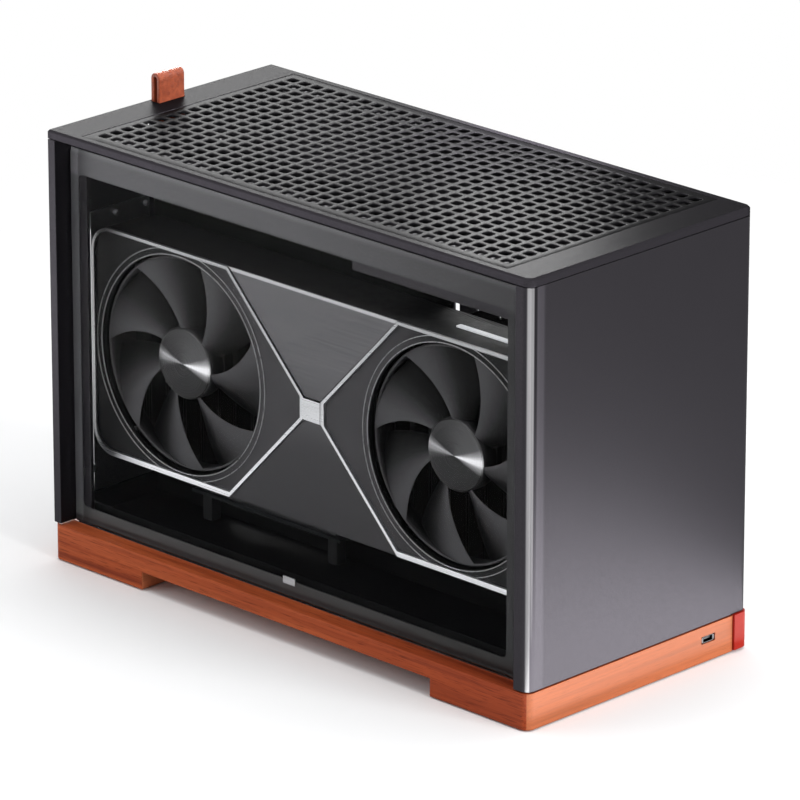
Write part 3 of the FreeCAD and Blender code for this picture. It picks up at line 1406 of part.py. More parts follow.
back_plate = new_body("card_backplate")
back_face = new_sketch(back_plate, "XZ", f"-{BOARD_BACK}")
rectangle(
    back_face,
    f"{CARD_REAR} + Sizes.back_plate_edge",
    f"{CARD_FRONT} - Sizes.card_board_short",
    CARD_LOW,
    BOARD_HIGH,
)
back_block = pad(back_plate, back_face, "Sizes.back_plate_depth", reverse=True)
back_hollow = new_sketch(back_plate, "XZ", f"-{BOARD_BACK}")
rectangle(
    back_hollow,
    f"{CARD_REAR} + Sizes.back_plate_edge + Sizes.back_plate_sheet",
    f"{CARD_FRONT} - Sizes.card_board_short - Sizes.back_plate_sheet",
    f"{CARD_LOW} + Sizes.back_plate_sheet",
    f"{BOARD_HIGH} - Sizes.back_plate_sheet",
)
pocket(back_plate, back_hollow, "Sizes.back_plate_depth - Sizes.back_plate_sheet")

OUTLET_FACE = f"({BOARD_FACE} - Sizes.outlet_width)"
OUTLET_STEPS = ("-1.5", "-0.5", "0.5", "1.5")
bracket = new_body("card_bracket")
bracket_face = new_sketch(bracket, "YZ", REAR_INNER)
rectangle(
    bracket_face,
    f"{SLOT_INNER} - Sizes.bracket_width",
    SLOT_INNER,
    f"{SLOT_LOW} - Sizes.bracket_overlap",
    BRACKET_HIGH,
)
pad(bracket, bracket_face, "Sizes.bracket_sheet")
bracket_ways = new_sketch(bracket, "YZ", REAR_INNER)
for step in OUTLET_STEPS:
    middle = f"({CARD_CENTRE} + {step} * Sizes.outlet_pitch)"
    rectangle(
        bracket_ways,
        f"{OUTLET_FACE} - Sizes.outlet_room",
        f"{BOARD_FACE} - Sizes.outlet_room",
        f"{middle} - Sizes.outlet_tall / 2 - Sizes.outlet_room",
        f"{middle} + Sizes.outlet_tall / 2 + Sizes.outlet_room",
    )
pocket(bracket, bracket_ways, "Sizes.bracket_sheet", along_normal=True)

outlets = []
for step in OUTLET_STEPS:
    outlet_low = f"{CARD_CENTRE} + {step} * Sizes.outlet_pitch - Sizes.outlet_tall / 2"
    outlets.append(
        block(
            "outlet",
            (BRACKET_FACE, f"{OUTLET_FACE} + Sizes.outlet_room", outlet_low),
            "Sizes.outlet_depth",
            "Sizes.outlet_width - Sizes.outlet_room",
            "Sizes.outlet_tall",
        )
    )
group("card_ports", outlets)

light = new_body("card_light_bar")
light_plan = new_sketch(light, "XY", CARD_HIGH)
rectangle(
    light_plan,
    f"{CARD_REAR} + Sizes.light_place",
    f"{CARD_REAR} + Sizes.light_place + Sizes.light_length",
    f"{CARD_FACE} + Sizes.light_inset",
    f"{CARD_FACE} + Sizes.light_inset + Sizes.light_width",
)
pad(light, light_plan, "Sizes.light_proud")

# Fans of the card: turned hubs, swept blades in a ring, and motors
HUB_FRONT = "Sizes.rotor_front"
HUB_REAR = f"({HUB_FRONT} + Sizes.hub_depth)"
HUB_FLOOR = f"({HUB_FRONT} + Sizes.hub_roof)"
BORE = "(Sizes.axle_radius + Sizes.axle_fit)"


def rotor(label, place):
    """A fan rotor about its own Y axis: hub, blades and outer ring."""
    body = new_body(label, place, CARD_FACE, CARD_CENTRE)
    hub = new_sketch(body, "XY")
    outline(
        hub,
        ("0", HUB_FRONT),
        ("Sizes.hub_radius", HUB_FRONT),
        ("Sizes.hub_radius", HUB_REAR),
        (BORE, HUB_REAR),
        (BORE, HUB_FLOOR),
        ("0", HUB_FLOOR),
    )
    revolve(body, hub)
    blade_plan = new_sketch(body, "XZ", "-Sizes.blade_middle")
    blade_plan.AttachmentOffset = FreeCAD.Placement(
        FreeCAD.Vector(0, 0, 0), FreeCAD.Rotation(FreeCAD.Vector(-1, 0, 0), 1)
    )
    blade_plan.setExpression("AttachmentOffset.Rotation.Angle", "Sizes.blade_pitch")
    outline(
        blade_plan,
        ("Sizes.blade_root", "-Sizes.blade_root_chord / 2"),
        ("Sizes.blade_mid", "Sizes.blade_mid_sweep - Sizes.blade_mid_chord / 2"),
        ("Sizes.blade_tip", "Sizes.blade_tip_sweep - Sizes.blade_tip_chord / 2"),
        ("Sizes.blade_tip", "Sizes.blade_tip_sweep + Sizes.blade_tip_chord / 2"),
        ("Sizes.blade_mid", "Sizes.blade_mid_sweep + Sizes.blade_mid_chord / 2"),
        ("Sizes.blade_root", "Sizes.blade_root_chord / 2"),
    )
    blade = pad(body, blade_plan, "Sizes.blade_sheet")
    blade.SideType = "Symmetric"
    blades = body.newObject("PartDesign::PolarPattern", f"{label}_blades")
    blades.Originals = [blade]
    blades.Axis = (origin_part(body, "Y_Axis"), [""])
    blades.setExpression("Occurrences", "Sizes.blade_count")
    body.Tip = blades
    tips = new_sketch(body, "XZ")
    circle(tips, "0", "0", "(Sizes.ring_inner + Sizes.ring_outer) / 2")
    circle(tips, "0", "0", "Sizes.blade_tip * 2")
    cut_through(body, tips)
    ring = new_sketch(body, "XY")
    rectangle(
        ring,
        "Sizes.ring_inner",
        "Sizes.ring_outer",
        "Sizes.ring_front",
        "Sizes.ring_front + Sizes.ring_depth",
    )
    revolve(body, ring)
    return body


def fan_motor(label, place):
    """A fixed axle on a square base that stands on the fins."""
    base_front = f"({CARD_FACE} + Sizes.fin_front - Sizes.motor_base_depth)"
    axle_tip = f"({CARD_FACE} + {HUB_FLOOR} + Sizes.axle_tip_gap)"
    motor = doc.addObject("Part::Fuse", label)
    motor.Base = block(
        f"{label}_base",
        (f"{place} - Sizes.motor_base_side / 2", base_front, f"{CARD_CENTRE} - Sizes.motor_base_side / 2"),
        "Sizes.motor_base_side",
        "Sizes.motor_base_depth",
        "Sizes.motor_base_side",
    )
    motor.Tool = rod(
        f"{label}_axle",
        "y",
        (place, axle_tip, CARD_CENTRE),
        "Sizes.axle_radius",
        f"{base_front} + Sizes.motor_base_depth / 2 - {axle_tip}",
    )
    return motor


motors = []
for side, sign in (("left", "-"), ("right", "+")):
    fan_place = f"{CARD_MIDDLE} {sign} Sizes.fan_from_middle"
    rotor(f"{side}_fan", fan_place)
    motors.append(fan_motor(f"{side}_fan_motor", fan_place))
group("fan_motors", motors)

# Riser slot that takes the card's tongue, on a small board and two posts
SLOT_FLOOR = f"({TONGUE_LOW} - Sizes.riser_tip_gap)"
RISER_HIGH = f"({SLOT_FLOOR} + Sizes.riser_groove_depth)"
RISER_LOW = f"({RISER_HIGH} - Sizes.riser_slot_tall)"
RISER_MIDDLE = f"(({BOARD_FACE} + {BOARD_BACK}) / 2)"
riser = new_body("riser_slot")
riser_plan = new_sketch(riser, "XY", RISER_LOW)
rectangle(
    riser_plan,
    f"{TONGUE_REAR} - Sizes.riser_slot_end",
    f"{TONGUE_FRONT} + Sizes.riser_slot_end",
    f"{RISER_MIDDLE} - Sizes.riser_slot_width / 2",
    f"{RISER_MIDDLE} + Sizes.riser_slot_width / 2",
)
pad(riser, riser_plan, "Sizes.riser_slot_tall")
riser_groove = new_sketch(riser, "XY", RISER_HIGH)
rectangle(
    riser_groove,
    f"{TONGUE_REAR} - Sizes.riser_groove_end",
    f"{TONGUE_FRONT} + Sizes.riser_groove_end",
    f"{RISER_MIDDLE} - Sizes.riser_groove / 2",
    f"{RISER_MIDDLE} + Sizes.riser_groove / 2",
)
pocket(riser, riser_groove, "Sizes.riser_groove_depth")

riser_board = new_body("riser_board")
riser_board_plan = new_sketch(riser_board, "XY", f"{RISER_LOW} - Sizes.small_board")
RISER_BOARD_REAR = f"({TONGUE_REAR} - Sizes.riser_slot_end - Sizes.riser_board_edge)"
RISER_BOARD_FRONT = f"({TONGUE_FRONT} + Sizes.riser_slot_end + Sizes.riser_board_edge)"
RISER_BOARD_SIDE = "(Sizes.riser_board_width / 2)"
rectangle(
    riser_board_plan,
    RISER_BOARD_REAR,
    RISER_BOARD_FRONT,
    f"{RISER_MIDDLE} - {RISER_BOARD_SIDE}",
    f"{RISER_MIDDLE} + {RISER_BOARD_SIDE}",
)
pad(riser_board, riser_board_plan, "Sizes.small_board")
POST_FEET = (
    f"{RISER_BOARD_REAR} + Sizes.riser_board_edge",
    f"{RISER_BOARD_FRONT} - Sizes.riser_board_edge - Sizes.riser_post_side",
)
posts = [
    block(
        "riser_post",
        (foot, f"{RISER_MIDDLE} - Sizes.riser_post_side / 2", TRAY_FLOOR),
        "Sizes.riser_post_side",
        "Sizes.riser_post_side",
        f"{RISER_LOW} - Sizes.small_board - {TRAY_FLOOR}",
    )
    for foot in POST_FEET
]
group("riser_posts", posts)

# Checks and files
PIECES = (
    "wood_plinth",
    "rubber_feet",
    "power_button",
    "switch_body",
    "usb_port",
    "usb_tongue",
    "usb_board",
    "base_tray",
    "front_panel",
    "rear_panel",
    "top_cover",
    "top_mesh",
    "leather_tab",
    "glass_panel",
    "glass_border",
    "bare_badge",
    "glass_pegs",
    "side_panel",
    "side_pegs",
    "glass_side_rail",
    "far_side_rail",
    "spine",
    "standoffs",
    "psu_bracket",
    "power_inlet",
    "inlet_pins",
    "card_shroud",
    "card_trim",
    "card_panels",
    "card_fins",
    "card_board",
    "card_backplate",
    "card_bracket",
    "card_ports",
    "card_light_bar",
    "left_fan",
    "right_fan",
    "fan_motors",
    "riser_slot",
    "riser_board",
    "riser_posts",
)

doc.recompute()
for item in doc.Objects:
    if "Invalid" in item.State or "Error" in item.State:
        raise RuntimeError(f"{item.Label} did not build: {item.State}")
pieces = [doc.getObjectsByLabel(label)[0] for label in PIECES]
for piece in pieces:
    if piece.Shape.isNull() or not piece.Shape.isValid() or not piece.Shape.Solids:
        raise RuntimeError(f"{piece.Label} has no sound shape")
os.makedirs("parts", exist_ok=True)
for piece in pieces:
    piece.Shape.exportStep(f"parts/{piece.Label}.step")
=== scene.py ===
import json
import math

import bpy
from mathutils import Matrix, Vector


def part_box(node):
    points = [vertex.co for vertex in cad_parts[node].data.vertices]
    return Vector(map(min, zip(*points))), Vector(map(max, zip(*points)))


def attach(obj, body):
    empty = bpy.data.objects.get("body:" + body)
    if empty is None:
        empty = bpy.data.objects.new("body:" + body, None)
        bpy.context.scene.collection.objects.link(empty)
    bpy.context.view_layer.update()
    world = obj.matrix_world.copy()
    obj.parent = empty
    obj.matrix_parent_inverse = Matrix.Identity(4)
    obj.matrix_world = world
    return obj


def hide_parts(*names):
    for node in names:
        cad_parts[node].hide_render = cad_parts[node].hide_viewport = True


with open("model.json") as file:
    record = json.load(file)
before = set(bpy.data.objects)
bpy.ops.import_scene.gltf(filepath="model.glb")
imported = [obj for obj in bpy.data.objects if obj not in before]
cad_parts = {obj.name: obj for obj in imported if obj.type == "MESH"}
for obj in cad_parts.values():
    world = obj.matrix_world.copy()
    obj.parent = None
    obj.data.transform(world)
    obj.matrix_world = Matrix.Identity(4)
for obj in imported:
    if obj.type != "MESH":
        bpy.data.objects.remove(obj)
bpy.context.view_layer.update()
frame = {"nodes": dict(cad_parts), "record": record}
NODES = frame["nodes"]
MM = 0.001
SHARP_ANGLE = 35


class Surface:
    """A procedural material. Its patterns are in metres, in the frame of the part."""

    def __init__(self, name, colour, metallic=0.0, roughness=0.5, **sockets):
        self.material = bpy.data.materials.new(name)
        self.material.use_nodes = True
        self.tree = self.material.node_tree
        self.shader = self.tree.nodes["Principled BSDF"]
        self.place = self.node("ShaderNodeTexCoord").outputs["Object"]
        self.shader.inputs["Base Color"].default_value = (*colour, 1)
        self.shader.inputs["Metallic"].default_value = metallic
        self.shader.inputs["Roughness"].default_value = roughness
        for socket, value in sockets.items():
            self.shader.inputs[socket.replace("_", " ")].default_value = value
        self.normal = None

    def node(self, kind, **settings):
        made = self.tree.nodes.new(kind)
        for key, value in settings.items():
            setattr(made, key, value)
        return made

    def join(self, output, target):
        self.tree.links.new(output, target)

    def stretched(self, scale, place=None):
        mapping = self.node("ShaderNodeMapping")
        mapping.inputs["Scale"].default_value = scale
        self.join(place or self.place, mapping.inputs["Vector"])
        return mapping.outputs["Vector"]

    def noise(self, scale, place=None, detail=3.0, rough=0.5, bend=0.0):
        """Noise with features of 1 / scale metres. A scale of three numbers stretches it."""
        texture = self.node("ShaderNodeTexNoise")
        if isinstance(scale, tuple):
            place = self.stretched(scale, place)
            scale = 1.0
        self.join(place or self.place, texture.inputs["Vector"])
        texture.inputs["Scale"].default_value = scale
        texture.inputs["Detail"].default_value = detail
        texture.inputs["Roughness"].default_value = rough
        texture.inputs["Distortion"].default_value = bend
        return texture.outputs[0]

    def cells(self, *scale):
        """How far a place is from the edge of its cell. The cells measure about 1 / scale metres."""
        texture = self.node("ShaderNodeTexVoronoi", feature="DISTANCE_TO_EDGE")
        self.join(self.stretched(scale), texture.inputs["Vector"])
        texture.inputs["Scale"].default_value = 1.0
        return texture.outputs["Distance"]

    def ramp(self, factor, *stops):
        """Colours or grey levels along a factor, as (place, value) pairs."""
        made = self.node("ShaderNodeValToRGB")
        steps = made.color_ramp.elements
        while len(steps) < len(stops):
            steps.new(0.5)
        for step, (place, value) in zip(steps, stops):
            step.position = place
            if not isinstance(value, tuple):
                value = (value, value, value)
            step.color = (*value, 1)
        self.join(factor, made.inputs["Fac"])
        return made.outputs["Color"]

    def math(self, kind, first, second=None):
        made = self.node("ShaderNodeMath", operation=kind)
        for socket, value in zip(made.inputs, (first, second)):
            if isinstance(value, (int, float)):
                socket.default_value = value
            elif value is not None:
                self.join(value, socket)
        return made.outputs[0]

    def blend(self, kind, factor, first, second):
        made = self.node("ShaderNodeMix", data_type="RGBA", blend_type=kind)
        for socket, value in zip((made.inputs[0], made.inputs[6], made.inputs[7]), (factor, first, second)):
            if isinstance(value, tuple):
                socket.default_value = (*value, 1)
            elif isinstance(value, (int, float)):
                socket.default_value = value
            else:
                self.join(value, socket)
        return made.outputs[2]

    def shade(self, tone, amount, factor, *stops):
        """A tone that is darkened by the levels along a factor."""
        return self.blend("MULTIPLY", amount, tone, self.ramp(factor, *stops))

    def colour(self, output):
        self.join(output, self.shader.inputs["Base Color"])

    def gloss(self, factor, low, high):
        """Roughness that wanders between two levels."""
        self.join(self.ramp(factor, (0.3, low), (0.7, high)), self.shader.inputs["Roughness"])

    def soften(self, radius):
        """Edges that catch light as if they were rounded."""
        edge = self.node("ShaderNodeBevel", samples=4)
        edge.inputs["Radius"].default_value = radius
        self.normal = edge.outputs["Normal"]
        self.join(self.normal, self.shader.inputs["Normal"])
        return self

    def bump(self, height, depth, strength):
        made = self.node("ShaderNodeBump")
        made.inputs["Strength"].default_value = strength
        made.inputs["Distance"].default_value = depth
        self.join(height, made.inputs["Height"])
        if self.normal is not None:
            self.join(self.normal, made.inputs["Normal"])
        self.normal = made.outputs["Normal"]
        self.join(self.normal, self.shader.inputs["Normal"])

    def share(self, value, low, high):
        """A value as a share of the way from one level to another."""
        made = self.node("ShaderNodeMapRange")
        made.inputs["From Min"].default_value = low
        made.inputs["From Max"].default_value = high
        self.join(value, made.inputs["Value"])
        return made.outputs[0]

    def axis(self, name, place=None):
        parts = self.node("ShaderNodeSeparateXYZ")
        self.join(place or self.place, parts.inputs[0])
        return parts.outputs[name]


def blasted_metal(name, dark, light, rough, edge=0.0006, graze=0.57, corner=None):
    """Bead-blasted, anodised aluminium with a fine, even grain.

    Graze is how much of the light it mirrors at a flat angle. A corner, given as X plus Y of its sharp edge,
    has a painted highlight on its round, and a painted dark line and a lighter painted band beside that, all
    fainter toward the foot.
    """
    surface = Surface(name, light, metallic=0.9, Specular_Tint=(graze, graze, graze, 1)).soften(edge)
    grain = surface.noise(2600.0, detail=2.0)
    cloud = surface.noise(9.0, detail=3.0)
    tone = surface.ramp(grain, (0.3, dark), (0.72, light))
    if corner is not None:
        # Painted light on the corner: a highlight on its round, a dark line and a lighter band beside it,
        # duller toward the foot
        across = surface.math("SUBTRACT", surface.math("ADD", surface.axis("X"), surface.axis("Y")), corner)
        place = surface.share(across, -0.006, 0.012)
        bright = (0.36, 0.355, 0.365)
        flank = (0.26, 0.256, 0.264)
        painted_dark_line = tuple(0.7 * part for part in dark)
        high = surface.ramp(
            place,
            (0.22, light),
            (0.28, bright),
            (0.38, bright),
            (0.42, flank),
            (0.48, flank),
            (0.52, painted_dark_line),
            (0.6, painted_dark_line),
            (0.63, tuple(1.7 * part for part in light)),
            (0.84, tuple(1.5 * part for part in light)),
            (0.92, light),
        )
        dull = (0.2, 0.197, 0.203)
        foot = surface.ramp(place, (0.22, light), (0.28, dull), (0.38, dull), (0.42, light))
        painted_highlight_band = surface.blend("MIX", surface.share(surface.axis("Z"), 0.04, 0.18), foot, high)
        inside = surface.ramp(place, (0.18, 0.0), (0.24, 1.0), (0.86, 1.0), (0.95, 0.0))
        tone = surface.blend("MIX", inside, tone, painted_highlight_band)
    surface.colour(surface.shade(tone, 0.35, cloud, (0.3, 0.82), (0.7, 1.0)))
    surface.gloss(surface.noise(900.0), rough - 0.04, rough + 0.05)
    surface.bump(grain, 0.00006, 0.5)
    return surface.material


def powder_coat(name, dark, light, rough, shine=0.12):
    """Painted steel with the fine orange peel of a powder coat."""
    surface = Surface(name, light, Specular_IOR_Level=shine).soften(0.0004)
    peel = surface.noise(1400.0, detail=2.0)
    surface.colour(surface.ramp(surface.noise(40.0), (0.3, dark), (0.7, light)))
    surface.gloss(surface.noise(120.0), rough - 0.06, rough + 0.08)
    surface.bump(peel, 0.00008, 0.5)
    return surface.material


def moulded_plastic(name, dark, light, rough=0.42, grain=1800.0, shine=0.4):
    """Moulded plastic with a fine spark-eroded grain."""
    surface = Surface(name, light, Specular_IOR_Level=shine).soften(0.0004)
    pits = surface.noise(grain, detail=2.0)
    surface.colour(surface.ramp(surface.noise(70.0), (0.3, dark), (0.7, light)))
    surface.gloss(surface.noise(300.0), rough - 0.05, rough + 0.06)
    surface.bump(pits, 0.00004, 0.5)
    return surface.material


def brushed_metal(name, dark, light, rough, along):
    """Metal brushed along one axis, 0 for X, 1 for Y or 2 for Z."""
    surface = Surface(name, light, metallic=1.0).soften(0.0003)
    scale = [2200.0, 2200.0, 2200.0]
    scale[along] = 30.0
    lines = surface.noise(tuple(scale), detail=3.0)
    surface.colour(surface.ramp(lines, (0.3, dark), (0.7, light)))
    surface.gloss(lines, rough - 0.05, rough + 0.07)
    surface.bump(lines, 0.00003, 0.4)
    return surface.material


def panel_metal():
    """Grey brushed metal of the card's panels, with painted shade that darkens it below and a painted
    highlight along the top edge.
    """
    surface = Surface("card_grey", (0.15, 0.146, 0.152), metallic=1.0).soften(0.0006)
    lines = surface.noise((30.0, 2200.0, 2200.0), detail=3.0)
    tone = surface.ramp(lines, (0.3, (0.11, 0.107, 0.112)), (0.7, (0.15, 0.146, 0.152)))
    low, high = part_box("card_panels")
    height = surface.share(surface.axis("Z"), low.z, high.z)
    # Painted shade: the panels darken toward their foot
    tone = surface.shade(tone, 1.0, height, (0.3, 0.4), (0.7, 1.0))
    # Painted highlight: a bright band along the top edge
    painted_highlight_band = surface.ramp(height, (0.984, 0.0), (0.988, 1.0))
    surface.colour(surface.blend("MIX", painted_highlight_band, tone, (0.5, 0.495, 0.505)))
    surface.gloss(lines, 0.37, 0.49)
    surface.bump(lines, 0.00003, 0.4)
    return surface.material


def silver_trim():
    """Bright trim of the card, with painted shade that dims it along its top and at its rear end."""
    surface = Surface("card_silver", (0.7, 0.7, 0.71), metallic=1.0).soften(0.0003)
    lines = surface.noise((30.0, 2200.0, 2200.0), detail=3.0)
    tone = surface.ramp(lines, (0.3, (0.78, 0.78, 0.79)), (0.7, (0.88, 0.88, 0.89)))
    low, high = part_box("card_trim")
    height = surface.share(surface.axis("Z"), low.z, high.z)
    # Painted shade: dimmer toward the top of the trim
    tone = surface.shade(tone, 1.0, height, (0.1, 1.0), (0.9, 0.5))
    # Painted shade: dimmer toward the rear end of the trim
    from_rear = surface.share(surface.axis("X"), low.x, low.x + 0.04)
    surface.colour(surface.shade(tone, 1.0, from_rear, (0.0, 0.3), (0.3, 0.5), (1.0, 1.0)))
    surface.gloss(lines, 0.25, 0.37)
    surface.bump(lines, 0.00003, 0.4)
    return surface.material


def red_wood():
    """Oiled reddish hardwood. The grain runs along each board, and the boards across the ends are painted
    paler, as painted light on the faces toward the front and rear.
    """
    surface = Surface("red_wood", (0.4, 0.08, 0.025), Specular_IOR_Level=0.12).soften(0.0009)
    facing = surface.axis("X", surface.node("ShaderNodeNewGeometry").outputs["True Normal"])
    end_board = surface.math("GREATER_THAN", surface.math("ABSOLUTE", facing), 0.7)
    turned = surface.node("ShaderNodeCombineXYZ")
    surface.join(surface.axis("Y"), turned.inputs["X"])
    surface.join(surface.axis("X"), turned.inputs["Y"])
    surface.join(surface.axis("Z"), turned.inputs["Z"])
    along = surface.node("ShaderNodeMix", data_type="VECTOR")
    surface.join(end_board, along.inputs[0])
    surface.join(surface.place, along.inputs[4])
    surface.join(turned.outputs[0], along.inputs[5])
    board = along.outputs[1]
    bands = surface.noise((5.0, 150.0, 190.0), board, detail=4.0, rough=0.55, bend=0.35)
    streaks = surface.noise((14.0, 700.0, 800.0), board, detail=3.0)
    pores = surface.noise((110.0, 2600.0, 2600.0), board, detail=1.0)
    tone = surface.ramp(
        bands,
        (0.25, (0.22, 0.035, 0.0105)),
        (0.45, (0.36, 0.069, 0.02)),
        (0.62, (0.45, 0.097, 0.03)),
        (0.8, (0.3, 0.051, 0.0145)),
    )
    tone = surface.shade(tone, 0.55, streaks, (0.32, (0.55, 0.45, 0.4)), (0.6, 1.0))
    tone = surface.shade(tone, 0.6, pores, (0.3, (0.3, 0.22, 0.18)), (0.42, 1.0))
    # The long boards darken toward the front
    darker_forward = surface.share(surface.axis("X"), 0.0, 0.12)
    darker_forward = surface.math("MULTIPLY", darker_forward, surface.math("SUBTRACT", 1.0, end_board))
    tone = surface.blend("MULTIPLY", darker_forward, tone, (0.76, 0.62, 0.6))
    # Painted light: the end boards are mixed toward a paler tone
    painted_pale_ends = surface.blend("MIX", surface.math("MULTIPLY", end_board, 0.4), tone, (0.56, 0.215, 0.1))
    surface.colour(painted_pale_ends)
    surface.gloss(streaks, 0.5, 0.62)
    surface.bump(pores, 0.00012, 0.35)
    return surface.material


def smoked_glass():
    """Clear tempered glass with a faint smoke tint, whose shadow lets light through to what is behind it."""
    surface = Surface("smoked_glass", (0.9, 0.905, 0.91), roughness=0.0, IOR=1.05, Transmission_Weight=1.0)
    surface.gloss(surface.noise(24.0, detail=4.0), 0.0, 0.012)
    path = surface.node("ShaderNodeLightPath")
    open_way = surface.node("ShaderNodeBsdfTransparent")
    open_way.inputs["Color"].default_value = (0.86, 0.87, 0.88, 1)
    either = surface.node("ShaderNodeMixShader")
    surface.join(path.outputs["Is Shadow Ray"], either.inputs[0])
    surface.join(surface.shader.outputs[0], either.inputs[1])
    surface.join(open_way.outputs[0], either.inputs[2])
    surface.join(either.outputs[0], surface.tree.nodes["Material Output"].inputs["Surface"])
    return surface.material


def border_film():
    """Satin film behind the glass, with painted light and shade: a painted highlight along its top edge and
    at its rear end, and painted shade toward the front and along its foot.
    """
    surface = Surface("border_film", (0.12, 0.12, 0.125), metallic=0.6)
    # Painted light and shade by height: a dark foot, a light low band, a lighter top band and a highlight
    # along the top edge
    tone = surface.ramp(
        surface.share(surface.axis("Z"), 0.02, 0.22),
        (0.0, (0.08, 0.078, 0.08)),
        (0.012, (0.08, 0.078, 0.08)),
        (0.018, (0.22, 0.221, 0.221)),
        (0.045, (0.22, 0.221, 0.221)),
        (0.06, (0.2, 0.196, 0.206)),
        (0.89, (0.2, 0.196, 0.206)),
        (0.905, (0.37, 0.358, 0.376)),
        (0.948, (0.37, 0.358, 0.376)),
        (0.953, (0.58, 0.565, 0.588)),
    )
    # Painted light on a strip at the rear end, and painted shade that deepens toward the front
    along = surface.share(surface.axis("X"), -0.156, 0.151)
    tone = surface.shade(tone, 1.0, along, (0.0, 1.0), (0.017, 1.0), (0.02, 0.31), (0.5, 0.27), (1.0, 0.11))
    speck = surface.noise(3200.0, detail=1.0)
    surface.colour(surface.shade(tone, 0.4, speck, (0.35, 0.7), (0.65, 1.0)))
    surface.gloss(surface.noise(60.0), 0.34, 0.42)
    return surface.material


def tan_leather():
    """Vegetable-tanned leather with a pebbled grain and darker creases."""
    surface = Surface("tan_leather", (0.42, 0.11, 0.04), roughness=0.5, Sheen_Weight=0.1)
    pebbles = surface.cells(1300.0, 1300.0, 1300.0)
    creases = surface.noise(380.0, detail=4.0, bend=0.6)
    tone = surface.ramp(
        creases,
        (0.3, (0.29, 0.05, 0.016)),
        (0.5, (0.41, 0.077, 0.026)),
        (0.72, (0.53, 0.112, 0.04)),
    )
    surface.colour(surface.shade(tone, 0.5, pebbles, (0.0, 0.45), (0.2, 1.0)))
    surface.gloss(creases, 0.42, 0.6)
    surface.bump(surface.ramp(pebbles, (0.0, 0.0), (0.25, 1.0)), 0.00012, 0.7)
    return surface.material


def shroud_coat():
    """Satin black coat of the card's shroud, with painted light that makes it a little lighter on its face
    between the two fans, and painted shade behind that face.
    """
    card_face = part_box("card_shroud")[0].y
    surface = Surface("card_black", (0.02, 0.02, 0.021), Specular_IOR_Level=0.12).soften(0.0004)
    # Painted light: lighter toward the middle of the card, darker toward its ends
    aside = surface.share(surface.math("ABSOLUTE", surface.axis("X")), 0.02, 0.12)
    tone = surface.ramp(
        aside,
        (0.0, (0.05, 0.048, 0.051)),
        (0.35, (0.04, 0.038, 0.041)),
        (0.65, (0.012, 0.012, 0.013)),
        (1.0, (0.006, 0.006, 0.0065)),
    )
    # Painted shade: everything behind the face of the card is nearly black
    behind_face = surface.share(surface.axis("Y"), card_face, card_face + 0.001)
    tone = surface.blend("MIX", behind_face, tone, (0.004, 0.004, 0.0042))
    cloud = surface.noise(70.0)
    surface.colour(surface.shade(tone, 0.5, cloud, (0.3, 0.7), (0.7, 1.0)))
    surface.gloss(surface.noise(300.0), 0.4, 0.52)
    surface.bump(surface.noise(1800.0, detail=2.0), 0.00004, 0.5)
    return surface.material


def circuit_board(name, dark, light):
    """Solder-masked board with faint tracks."""
    surface = Surface(name, light, roughness=0.35)
    tracks = surface.cells(260.0, 260.0, 40.0)
    surface.colour(surface.ramp(tracks, (0.04, light), (0.09, dark)))
    surface.gloss(surface.noise(200.0), 0.3, 0.42)
    surface.bump(tracks, 0.00005, 0.4)
    return surface.material


def stacked_fins():
    """Thin aluminium sheets set close together, seen from their edges."""
    surface = Surface("stacked_fins", (0.2, 0.2, 0.21), metallic=0.5, roughness=0.5, Specular_IOR_Level=0.1)
    wave = surface.node("ShaderNodeTexWave", bands_direction="X")
    wave.inputs["Scale"].default_value = 180.0
    wave.inputs["Distortion"].default_value = 0.3
    surface.join(surface.place, wave.inputs["Vector"])
    sheets = wave.outputs["Fac"]
    # Painted shade: the gaps between the sheets are painted darker than the sheets
    surface.colour(surface.ramp(sheets, (0.3, 0.0015), (0.75, (0.007, 0.007, 0.0072))))
    surface.bump(sheets, 0.0004, 0.5)
    return surface.material


def fan_plastic():
    """Plastic of the blades, with painted shade: lighter at their front edges, darker deep in the card where
    shade falls.
    """
    surface = Surface("fan_plastic", (0.02, 0.02, 0.021), Specular_IOR_Level=0.06).soften(0.0002)
    # Painted shade that deepens with depth into the card
    depth = surface.share(surface.axis("Y"), -0.0525, -0.043)
    tone = surface.ramp(
        depth,
        (0.14, (0.064, 0.0625, 0.0655)),
        (0.23, (0.04, 0.039, 0.041)),
        (0.4, (0.014, 0.0137, 0.0143)),
        (0.6, (0.0045, 0.0045, 0.0046)),
        (1.0, (0.002, 0.002, 0.002)),
    )
    surface.colour(surface.shade(tone, 0.5, surface.noise(70.0), (0.3, 0.75), (0.7, 1.0)))
    surface.gloss(surface.noise(300.0), 0.31, 0.42)
    surface.bump(surface.noise(1800.0, detail=2.0), 0.00004, 0.5)
    return surface.material


def lit_strip():
    """Frosted diffuser, lit from behind, with a faintly uneven glow."""
    surface = Surface("lit_strip", (0.5, 0.5, 0.51), roughness=0.5, Emission_Strength=0.42)
    glow = surface.noise(60.0, detail=2.0)
    surface.join(
        surface.ramp(glow, (0.3, (0.82, 0.86, 0.92)), (0.7, (1.0, 1.0, 1.0))),
        surface.shader.inputs["Emission Color"],
    )
    return surface.material


